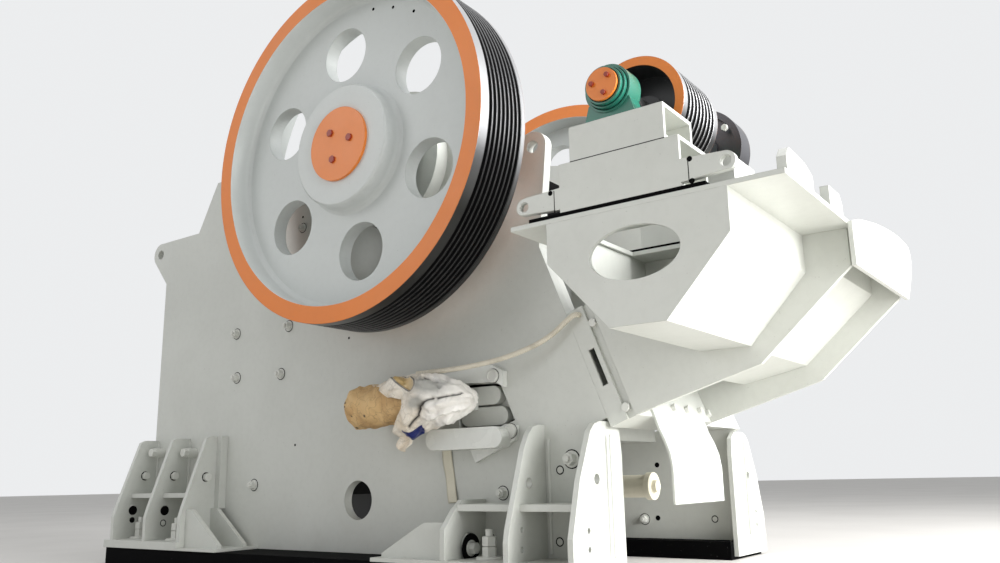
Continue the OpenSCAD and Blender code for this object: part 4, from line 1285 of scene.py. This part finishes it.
@dataclass
class Flywheels:
    """The two wheels with their caps."""

    cap_bolt_circle: float = 97.0
    cap_bolt: float = 40.0
    cap_bolt_seat: float = -1379.5
    cap_angles: tuple[float, ...] = (8.0, 128.0, 248.0)
    web_face: float = -1268.0
    web_hole: float = 20.0
    web_hole_radius: float = 870.0
    web_hole_angles: tuple[float, ...] = (80.0, 69.0, 57.0)

    def build(self, shop: Paintshop) -> None:
        """Dresses the wheels, puts three bolts in each cap and three small holes in each web."""
        for kind, side, rim in (("drive", -1.0, FLYWHEEL_RIM), ("balance", 1.0, replace(FLYWHEEL_RIM, grooves=0))):
            wheel = smooth_copy(kind + "_wheel", Body.CRANK, shop.shelf[kind + " wheel enamel"])
            rim.build(wheel, kind + "_wheel", side, Body.CRANK, "wheel_paint")
        smooth_copy("eccentric_shaft", Body.CRANK, shop.shelf["turned shaft steel"])
        for name in ("wheel_cap_near", "wheel_cap_far"):
            smooth_copy(name, Body.CRANK, shop.shelf["cap orange enamel"])
        bolts = BoltSet("wheel_cap_bolts", Fastener.BARE, Body.CRANK, "bolt red enamel", "cap_orange")
        seats = on_circle(self.cap_bolt_circle, self.cap_angles, self.cap_bolt_seat)
        bolts.put(seats, Way.NEAR, self.cap_bolt, pair=True)
        bolts.build(shop)
        holes = BoltSet.mouths("wheel_web_holes", Body.CRANK)
        seats = on_circle(self.web_hole_radius, self.web_hole_angles, self.web_face)
        holes.put(seats, Way.NEAR, self.web_hole, pair=True)
        holes.build(shop)


@dataclass
class Feet:
    """The four gusseted feet with their bolts, plugs and anchor nuts."""

    front_bolts: Places = ((-2359, -974, -1833), (-1976, -995, -1840), (-1593, -1009, -1853))
    front_hole: Places = ((-2359, -1052, -2136),)
    front_hole_shadows: Places = ((-2359, -1051, -2070), (-1976, -1051, -2070))
    front_plug: Places = ((-1976, -1057, -2152),)
    anchors: Places = ((-2305, -1014, FOOT_TOP), (-1815, -1055, FOOT_TOP), (796, -1055, -2290))
    sleeves: Places = ((-2300, SIDE, -1671), (-1914, SIDE, -1683))
    end_disc: Places = ((664, -1036, -2242),)
    end_bolt: Places = ((665.5, -1036, -2242),)
    welds: Spots = ((-2359, -1600), (-1976, -1600), (-1593, -1600), (634, -2080), (1050, -1700), (1407, -1700))
    weld_size: float = 0.011

    def seams(self) -> Surface:
        """The welds between the gussets and the side plates, as one surface."""
        beads = []
        for x, top in self.welds:
            for side in (1.0, -1.0):
                path = np.array([at_shaft(x, side * SIDE, top), at_shaft(x, side * SIDE, FOOT_TOP - 20.0)])
                beads.append(weld_bead(path, (1.0, 0.0, 0.0), (0.0, -side, 0.0), self.weld_size))
        return Surface.joined(beads)

    def build(self, shop: Paintshop) -> None:
        """Makes the feet's fasteners and welds, on both sides."""
        make_piece("foot_welds", self.seams(), shop.shelf["weld paint"], sharp=60.0)
        bolts = BoltSet("foot_bolts", Fastener.BARE)
        bolts.put(self.front_bolts, Way.REAR, 48.0, pair=True)
        bolts.seats(shop, 0.66)
        bolts.build(shop)
        holes, plugs = BoltSet.mouths("foot_holes"), BoltSet("foot_plugs", Fastener.PLUG)
        holes.put(self.front_hole, Way.REAR, 40.0, pair=True)
        # Black discs of painted shadow over the holes in two front gussets.
        holes.put(self.front_hole_shadows, Way.REAR, 64.0, pair=True)
        for part in (holes, plugs):
            part.put(self.front_plug, Way.REAR, 46.0, pair=True)
        holes.put(self.end_disc, Way.REAR, 146.0, pair=True)
        holes.build(shop)
        plugs.build(shop)
        for name, kind, places, way, size in (
                ("foot_end_bolts", Fastener.BOLT, self.end_bolt, Way.REAR, 52.0),
                ("anchor_nuts", Fastener.STACK, self.anchors, Way.UP, 66.0),
                ("foot_sleeves", Fastener.SLEEVE, self.sleeves, Way.NEAR, 52.0)):
            bolts = BoltSet(name, kind)
            bolts.put(places, way, size, pair=True)
            bolts.build(shop)


@dataclass
class MotorBracket:
    """The bolts of the motor bracket's mounting plate and guard, and the joints and small holes of its pedestal."""

    plate_bolts: Spots = ((1336, -1140), (1499, -1574))
    plate_edge: float = -862.0
    guard_drop: float = 1621.0
    guard_bolts: Spots = ((-436.0, 156.3), (-270.0, 156.3), (-101.0, 156.3), (41.0, 140.3))
    bolt_width: float = 40.0
    pan_face: float = -1751.0
    pan_holes: Spots = ((2279, -746), (2283, -834), (1660, -750))
    hole_width: float = 22.0
    joint_x: Pair = (1760.0, 2184.0)
    joint_z: float = -636.0
    joint_half: float = 1.8
    lug_seams: Pair = (1678.0, 2272.0)
    lug_z: Pair = (-836.0, -744.0)

    def build(self, shop: Paintshop) -> None:
        """Makes the bolts, the holes and the thin dark lines of the joints."""
        bolts = BoltSet("bracket_bolts", Fastener.BARE)
        bolts.put(on_plate(self.plate_bolts, self.plate_edge), Way.NEAR, self.bolt_width)
        bolts.put([slope_place(self.guard_drop, y, out) for y, out in self.guard_bolts], Way.SLOPE, self.bolt_width)
        bolts.build(shop)
        holes = BoltSet.mouths("pan_cope_holes")
        holes.put(on_plate(self.pan_holes, self.pan_face), Way.NEAR, self.hole_width)
        holes.build(shop)
        half = self.joint_half
        boxes = [(self.joint_x, (self.joint_z - half, self.joint_z + half))]
        boxes += [((x - half, x + half), self.lug_z) for x in self.lug_seams]
        strips = [thin_plate([(left, low), (right, low), (right, high), (left, high)], self.pan_face - 0.3, 1.5)
                  for (left, right), (low, high) in boxes]
        make_piece("pedestal_joint", Surface.joined(strips), shop.shelf["shadow black"])


@dataclass
class CounterDrive:
    """The countershaft with its pulley, pillow blocks and pedestals."""

    middle: Pair = (1896.0, -310.0)
    cap_face: float = -1704.0
    cap_circle: float = 44.0
    cap_angles: tuple[float, ...] = (45.0, 168.0, 285.0)
    cap_bolt: float = 20.0
    block_gaps: Spots = ((0.073, -1.6907), (0.084, -1.6707), (0.094, -1.6507))
    gap: Pair = (0.003, 0.002)
    disc_face: float = -700.0
    disc_circle: float = 174.0
    disc_angle: float = 33.0
    disc_bolt: float = 30.0

    def build(self, shop: Paintshop) -> None:
        """Dresses the turned pieces and bolts the end cap and the drive disc."""
        for node, body, slot, finish in (
                ("small_pulley", Body.COUNTERSHAFT, "bright_steel", "pulley enamel"),
                ("drive_disc", Body.COUNTERSHAFT, "bright_steel", "drive disc steel"),
                ("countershaft", Body.COUNTERSHAFT, "bright_steel", "turned countershaft steel"),
                ("counter_cap", Body.COUNTERSHAFT, "cap_orange", "cap orange enamel"),
                ("pillow_block_near", Body.FRAME, "bearing_green", "bearing green enamel"),
                ("pillow_block_inner", Body.FRAME, "bearing_green", "bearing green enamel")):
            piece = smooth_copy(node, body, shop.shelf[finish])
            if node == "small_pulley":
                PULLEY_RIM.build(piece, node, -1.0, body, slot)
        bolts = BoltSet("counter_cap_bolts", Fastener.BARE, Body.COUNTERSHAFT, "bolt red enamel", "cap_orange")
        bolts.put(on_circle(self.cap_circle, self.cap_angles, self.cap_face, self.middle), Way.NEAR, self.cap_bolt)
        bolts.build(shop)
        wide, deep = self.gap
        gaps = [turned_ring([(inner, face), (inner + wide, face), (inner + wide, face + deep), (inner, face + deep)],
                            PULLEY_RIM.axle, 96) for inner, face in self.block_gaps]
        make_piece("pillow_block_gaps", Surface.joined(gaps), shop.shelf["shadow black"])
        bolts = BoltSet("drive_disc_bolt", Fastener.BARE, Body.COUNTERSHAFT, slot="bright_steel")
        seats = on_circle(self.disc_circle, (self.disc_angle,), self.disc_face, self.middle)
        bolts.put(seats, Way.NEAR, self.disc_bolt)
        bolts.build(shop)


@dataclass
class Packing:
    """The brown paper and white film round the adjusting cylinder, with their tape and strap.

    A place on them is its distance behind the shaft and its angle round the cylinder, which runs from 0 at the
    top over 90 on the near side to 180 at the bottom. Folds and tears are placed on the unrolled wrap, where a
    degree is GIRTH millimetres.
    """

    girth: float = 2.45
    axis_y: float = -1070.0
    axis_z: float = -1490.0
    bend_from: float = 590.0
    bend_to: float = 680.0
    bend: float = 55.0
    paper_radius: Curve = ((-122, -110, 60, 200, 300, 380), (106, 117, 119, 114, 106, 98))
    film_radius: Curve = ((-20, 120, 250, 420, 520, 600, 640, 680), (126, 138, 146, 148, 130, 98, 76, 40))
    film_edge: Curve = (
        (-90, 0, 15, 30, 60, 75, 85, 105, 120, 145, 180, 270), (60, 10, 20, 60, 160, 215, 330, 335, 290, 240, 150, 60))
    film_end: float = 684.0
    deep_fold: Spots = ((530, 216), (455, 257), (430, 314), (355, 355))
    short_folds: tuple[Spots, ...] = (((455, 88), (540, 100)), ((560, 215), (620, 190), (650, 150)))
    tear: Spots = ((175, 22), (290, 88), (395, 140))
    tear_reach: float = 27.0
    paper_marks: Places = ((40, 118, 8), (-70, 118, 6), (-104, 80, 6), (-104, 90, 6), (-92, 163, 10))

    def place(self, x: np.ndarray, angle: np.ndarray, radius: np.ndarray) -> np.ndarray:
        """Turns places on the wrap into points: the cylinder's line, bent towards the plate at its rear end, plus
        the radius along the angle.

        Args:
            x: Distance behind the shaft.
            angle: Angle round the cylinder.
            radius: Distance from its axis.

        Returns:
            The points, in metres.
        """
        share = np.clip((x - self.bend_from) / (self.bend_to - self.bend_from), 0.0, 1.0)
        turn = np.radians(angle)
        y = self.axis_y + self.bend * share * share * (3.0 - 2.0 * share) - radius * np.sin(turn)
        return SHAFT + MM * np.stack(np.broadcast_arrays(x, y, self.axis_z + radius * np.cos(turn)), axis=-1)

    def film_reach(self, x: np.ndarray, angle: np.ndarray) -> np.ndarray:
        """Radius of the crumpled film: its girth, two swellings, three sizes of creases, pleats at its rear end and
        the deep folds."""
        girth = np.interp(x, *self.film_radius)
        swell = 26.0 * bump(x, 330.0, 130.0) * bump(angle, 40.0, 24.0)
        swell = swell + 40.0 * bump(x, 300.0, 110.0) * bump(angle, 168.0, 24.0)
        spot = self.place(x, angle, girth)
        crease = 12.0 * crumple(spot, 4.2, 5, 6) + 9.0 * crumple(spot, 10.0, 8, 5) + 3.4 * crumple(spot, 26.0, 9, 5)
        pleat = np.arcsin(np.sin(np.radians(9.0 * angle) + 2.2 * crumple(spot, 5.0, 14, 5)))
        gather = np.clip((x - 400.0) / 160.0, 0.0, 1.0)
        fold = line_distance(x, self.girth * angle, self.deep_fold)
        reach = girth + swell + crease * np.clip(girth / 120.0, 0.25, 1.0) + 7.0 * gather * pleat * girth / 100.0
        reach = reach - 20.0 * np.exp(-((fold / 13.0) ** 2))
        for corners in self.short_folds:
            reach = reach - 14.0 * np.exp(-((line_distance(x, self.girth * angle, corners) / 10.0) ** 2))
        tear = line_distance(x, self.girth * angle, self.tear)
        return reach - 9.0 * np.clip((self.tear_reach - tear) / 6.0, 0.0, 1.0)

    def film(self) -> tuple[Surface, dict[str, np.ndarray]]:
        """The film's surface, from its slanting front edge to its gathered rear end, and its painted masks."""
        angle = np.linspace(-90.0, 270.0, 220, endpoint=False)[None, :]
        edge = np.interp(angle, *self.film_edge)
        share = np.linspace(0.0, 1.0, 170)[:, None]
        x = edge + share * (self.film_end - edge)
        angle = np.broadcast_to(angle, x.shape)
        reach = self.film_reach(x, angle)
        lip = np.clip(share * 9.0, 0.0, 1.0)
        reach = reach * lip + (1.0 - lip) * np.maximum(reach - 9.0, np.interp(x, *self.paper_radius) + 4.0)
        reach[-1] = 2.0
        unrolled = self.girth * angle
        tear = line_distance(x, unrolled, self.tear)
        fold = line_distance(x, unrolled, self.deep_fold)
        dark = np.exp(-((fold / 7.0) ** 2))
        for corners in self.short_folds:
            dark = np.maximum(dark, np.exp(-((line_distance(x, unrolled, corners) / 6.5) ** 2)))
        rim = np.exp(-(((tear - self.tear_reach - 3.0) / 3.6) ** 2)) * (unrolled > 40.0)
        clear = np.maximum(bump(x, 500.0, 90.0) * bump(unrolled, 140.0, 42.0),
                           bump(x, 450.0, 48.0) * bump(unrolled, 233.0, 30.0))
        # dark is painted shade along the folds, with a dark line along the tear's edge; bright is painted light on the
        # film's rear part.
        masks = {"tan": np.clip((self.tear_reach - tear) / 4.0, 0.0, 1.0), "clear": np.clip(1.6 * clear, 0.0, 1.0),
                 "dark": np.maximum(dark, rim), "bright": np.clip((x - 360.0) / 160.0, 0.0, 1.0)}
        return Surface.from_grid(self.place(x, angle, reach), round_v=True), masks

    def paper(self) -> tuple[Surface, dict[str, np.ndarray]]:
        """The paper's surface: a closed front end, then the crumpled tube that runs on under the film."""
        angle = np.linspace(-90.0, 270.0, 200, endpoint=False)[None, :]
        x = np.concatenate((np.full(8, -123.0), np.linspace(-122.0, 380.0, 150)))[:, None]
        girth = np.interp(x, *self.paper_radius)
        girth[:8, 0] = np.linspace(0.02, 1.0, 8) * self.paper_radius[1][0]
        x, angle = np.broadcast_to(x, (158, 200)).copy(), np.broadcast_to(angle, (158, 200))
        spot = self.place(x, angle, girth + 0.0 * x)
        crease = 5.0 * crumple(spot, 5.0, 21, 6) + 4.4 * crumple(spot, 12.0, 22, 5) + 1.8 * crumple(spot, 30.0, 23, 5)
        x[:8] += 0.6 * crease[:8]
        reach = girth + crease * np.clip(girth / 100.0, 0.1, 1.0)
        dark = np.zeros_like(x)
        for place_x, place_angle, size in self.paper_marks:
            far = np.hypot(x - place_x, 2.1 * (angle - place_angle))
            dark = np.maximum(dark, np.clip(1.6 - far / size * 1.2, 0.0, 1.0))
        return Surface.from_grid(self.place(x, angle, reach), round_v=True), {"dark": dark}

    def tail(self) -> Surface:
        """A loose end of the film below it: point(u, v) hangs down from the belly, drawn in to the front."""
        across, down = np.meshgrid(np.linspace(0.0, 1.0, 30), np.linspace(0.0, 1.0, 26), indexing="ij")
        x = 225.0 + 115.0 * across - 30.0 * down
        z = self.axis_z - 168.0 - 92.0 * down * (0.55 + 0.45 * np.sin(math.pi * across))
        y = self.axis_y - 22.0 - 9.0 * np.sin(3.0 * math.pi * across) * (0.4 + down)
        points = SHAFT + MM * np.stack((x, y, z), axis=-1)
        points[..., 1] += 0.009 * crumple(points, 14.0, 31)
        return Surface.from_grid(points)

    def tape(self) -> Surface:
        """A crescent of tape on the film's belly: point(u, v) lies 3 mm over the film between two curved edges."""
        along, across = np.meshgrid(np.linspace(0.0, 1.0, 44), np.linspace(0.0, 1.0, 20), indexing="ij")
        arch = np.sin(math.pi * along)
        x = 296.0 + 134.0 * along + 10.0 * across * (1.0 - 2.0 * along)
        angle = 149.0 + 4.0 * arch + across * (16.0 + 12.0 * arch)
        return Surface.from_grid(self.place(x, angle, self.film_reach(x, angle) + 3.0))

    def strap(self) -> Surface:
        """A flat strap that hangs on the side plate: point(u, v) = top + u * width across + v * length down."""
        across, down = np.meshgrid(np.linspace(-1.0, 1.0, 8), np.linspace(0.0, 1.0, 60), indexing="ij")
        x = 386.0 + 44.0 * down**1.2 + 33.0 * across
        y = SIDE - 6.0 - 3.0 * np.sin(9.0 * down) + 1.5 * across * np.sin(7.0 * down)
        z = -1738.0 - 287.0 * down + 3.0 * across
        return Surface.from_grid(SHAFT + MM * np.stack((x, y, z), axis=-1))

    def soft_piece(
        self, name: str, surface: Surface, finish: bpy.types.Material, wall_mm: float,
        masks: dict[str, np.ndarray] | None = None,
    ) -> bpy.types.Object:
        """Makes a soft piece with a thin wall.

        Args:
            name: Name of the piece.
            surface: Its outer face.
            finish: Its material.
            wall_mm: Thickness of its wall.
            masks: Values from 0 to 1 at its points, which the material reads by name.

        Returns:
            The piece.
        """
        mesh = surface.mesh(name)
        for label, values in (masks or {}).items():
            mesh.attributes.new(label, "FLOAT", "POINT").data.foreach_set("value", values.ravel().astype(np.float32))
        close_mesh(mesh, 55.0)
        piece = add_piece(name, mesh, finish, Body.FRAME)
        wall = piece.modifiers.new("wall", "SOLIDIFY")
        wall.thickness = wall_mm * MM
        wall.offset = -1.0
        return piece

    def build(self, shop: Paintshop) -> None:
        """Makes the four pieces."""
        surface, masks = self.paper()
        paper = self.soft_piece("packing_paper", surface, shop.shelf["brown packing paper"], 1.2, masks)
        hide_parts("paper_wrap")
        surface, masks = self.film()
        tail = self.tail()
        blank = np.zeros(len(tail.points))
        masks = {label: np.concatenate((values.ravel(), blank)) for label, values in masks.items()}
        surface = Surface.joined([surface, tail])
        film = self.soft_piece("packing_film", surface, shop.shelf["white packing film"], 1.0, masks)
        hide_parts("film_wrap")
        tape = self.soft_piece("packing_tape", self.tape(), shop.shelf["blue tape"], 0.8)
        strap = self.soft_piece("packing_strap", self.strap(), shop.shelf["cream strap"], 1.5)


@dataclass
class GapAdjustment:
    """The wedge adjustment in the near side plate, and the cord that lies on its wrapped cylinder."""

    cord_diameter: float = 0.028
    window: Spots = ((443, -1387), (753, -1400), (846, -1602), (748, -1639), (476, -1636))
    gap_shadow_y: float = -826.0
    heads: Places = ((737, -920, -1364), (836, -904, -1659))
    head_width: float = 74.0
    route: Places = (
        (1262, -880, -1092), (1262, -896, -1092), (1254, -906, -1094), (1236, -912, -1101),
        (1190, -917, -1133), (1140, -925, -1172), (1090, -936, -1204), (1035, -948, -1230), (975, -962, -1252),
        (910, -977, -1272), (845, -992, -1288), (780, -1006, -1300), (710, -1020, -1310), (640, -1034, -1318),
        (570, -1046, -1323), (500, -1056, -1326), (430, -1064, -1328), (380, -1070, -1330), (330, -1070, -1330))

    def cord(self, shop: Paintshop) -> None:
        """Makes the cord along the route of its CAD tube."""
        line = catmull(np.array([at_shaft(*point) for point in self.route]), 5)
        surface = tube(line, self.cord_diameter / 2.0)
        piece = make_piece("wedge_cord", surface, shop.shelf["cord skin"], sharp=60.0)
        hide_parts("hose")

    def gap_shadow(self) -> Surface:
        """The painted shadow in the gap round the window: a flat black ring between the outline and a smaller copy of
        it about its middle.
        """
        corners = np.array(self.window, float)
        middle = corners.mean(axis=0)
        loops = []
        for scale, inward in ((1.02, 0.0), (0.82, 0.0), (0.82, 6.0), (1.02, 6.0)):
            ring = middle + scale * (corners - middle)
            loops.append([at_shaft(x, self.gap_shadow_y + inward, z) for x, z in ring])
        return Surface.from_grid(np.array(loops).transpose(1, 0, 2), round_u=True, round_v=True)

    def build(self, shop: Paintshop) -> None:
        """Dresses the cylinder and the wedges, fills the gap round them with painted shadow and puts round heads on the
        bracket.
        """
        for name in ("adjusting_cylinder", "adjusting_wedges"):
            smooth_copy(name, Body.FRAME, shop.shelf["pale grey enamel"])
        make_piece("window_gap", self.gap_shadow(), shop.shelf["shadow black"])
        heads = BoltSet("bracket_heads", Fastener.BOSS)
        heads.put(self.heads, Way.NEAR, self.head_width)
        heads.seats(shop, 0.54)
        heads.build(shop)


@dataclass
class Studio:
    """The camera, the lamps, the pale floor and the background."""

    place: Place = (3.9999, -4.6630, 0.5207)
    yaw: float = -0.624
    pitch: float = 0.223
    roll: float = 0.020
    lens: float = 31.23

    def camera(self) -> None:
        """Stands the camera where the photograph was taken.

        Its axes are the view direction from the yaw and the pitch, and the picture's right and down, turned by the
        roll.
        """
        level = math.cos(self.pitch)
        look = np.array((math.sin(self.yaw) * level, math.cos(self.yaw) * level, math.sin(self.pitch)))
        right = np.array((math.cos(self.yaw), -math.sin(self.yaw), 0.0))
        down = np.cross(look, right)
        across = math.cos(self.roll) * right + math.sin(self.roll) * down
        below = math.cos(self.roll) * down - math.sin(self.roll) * right
        data = bpy.data.cameras.new("photo camera")
        data.lens = self.lens
        data.sensor_width = 36.0
        data.clip_end = 200.0
        camera = bpy.data.objects.new("photo camera", data)
        bpy.context.scene.collection.objects.link(camera)
        axes = np.stack((across, -below, -look), axis=1)
        camera.matrix_world = Matrix.Translation(self.place) @ Matrix(axes.tolist()).to_4x4()
        bpy.context.scene.camera = camera

    def lamp(self, name: str, place: Place, target: Place, power: float, size: float) -> None:
        """Hangs a square soft lamp that faces a target.

        Args:
            name: Name of the lamp.
            place: Where it hangs, in metres.
            target: What it faces.
            power: Its power in watts.
            size: Its side in metres.
        """
        data = bpy.data.lights.new(name, "AREA")
        data.energy = power
        data.size = size
        lamp = bpy.data.objects.new(name, data)
        bpy.context.scene.collection.objects.link(lamp)
        look = np.array(target) - np.array(place)
        look /= np.linalg.norm(look)
        side = np.cross(look, (0.0, 0.0, 1.0))
        side /= np.linalg.norm(side)
        axes = np.stack((side, np.cross(side, look), -look), axis=1)
        lamp.matrix_world = Matrix.Translation(place) @ Matrix(axes.tolist()).to_4x4()

    def build(self) -> None:
        """Sets the lamps, the floor and the background."""
        self.lamp("rear window", (9.5, 1.0, 5.0), (1.5, -0.6, 1.2), 1700.0, 6.0)
        self.lamp("low rear light", (9.0, -1.9, 1.6), (1.0, -0.8, 0.8), 460.0, 4.0)
        self.lamp("roof light", (0.5, -1.0, 9.5), (0.8, -0.3, 0.0), 250.0, 7.0)
        self.lamp("front fill", (-4.5, -8.5, 5.5), (0.5, -0.5, 1.2), 155.0, 5.0)
        world = bpy.data.worlds.new("pale hall")
        world.use_nodes = True
        bpy.context.scene.world = world
        graph = Graph(world.node_tree)
        sky = world.node_tree.nodes["Background"]
        path = graph.add("LightPath")
        seen = path.outputs["Is Camera Ray"]
        for kind in ("Is Glossy Ray", "Is Transmission Ray"):
            seen = graph.maths("MAXIMUM", seen, path.outputs[kind])
        graph.tree.links.new(graph.blend(seen, (0.46, 0.47, 0.48), (0.84, 0.85, 0.86)), sky.inputs["Color"])
        sky.inputs["Strength"].default_value = 1.0
        material, graph, shader = new_material("pale floor")
        patch = graph.step(graph.noise(0.8, 4.0), 0.35, 0.7)
        links = {"Base Color": graph.blend(patch, (0.64, 0.62, 0.59), (0.60, 0.58, 0.55)), "Roughness": 0.6}
        finish_shader(graph, shader, links, graph.noise(40.0, 4.0), 0.0004)
        floor = revolve([(radius, 0.0) for radius in (0.0, 2.0, 4.0, 8.0, 16.0, 32.0, 60.0)], 64)
        mesh = floor.mesh("studio_floor")
        close_mesh(mesh, 30.0)
        add_object("studio_floor", mesh, material)
        bpy.context.scene.view_settings.view_transform = "Standard"


def main() -> None:
    """Builds the machine in the order of its assembly."""
    logging.basicConfig(level=logging.INFO, format="%(message)s")
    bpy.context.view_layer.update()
    studio = Studio()
    studio.camera()
    shop = Paintshop()
    shop.build()
    shop.dress_nodes()
    adjustment = GapAdjustment()
    adjustment.cord(shop)
    for part in (PlateFrame(), Flywheels(), Feet(), MotorBracket(), CounterDrive(), adjustment, Packing()):
        part.build(shop)
    studio.build()


if __name__ == "__main__":
    main()
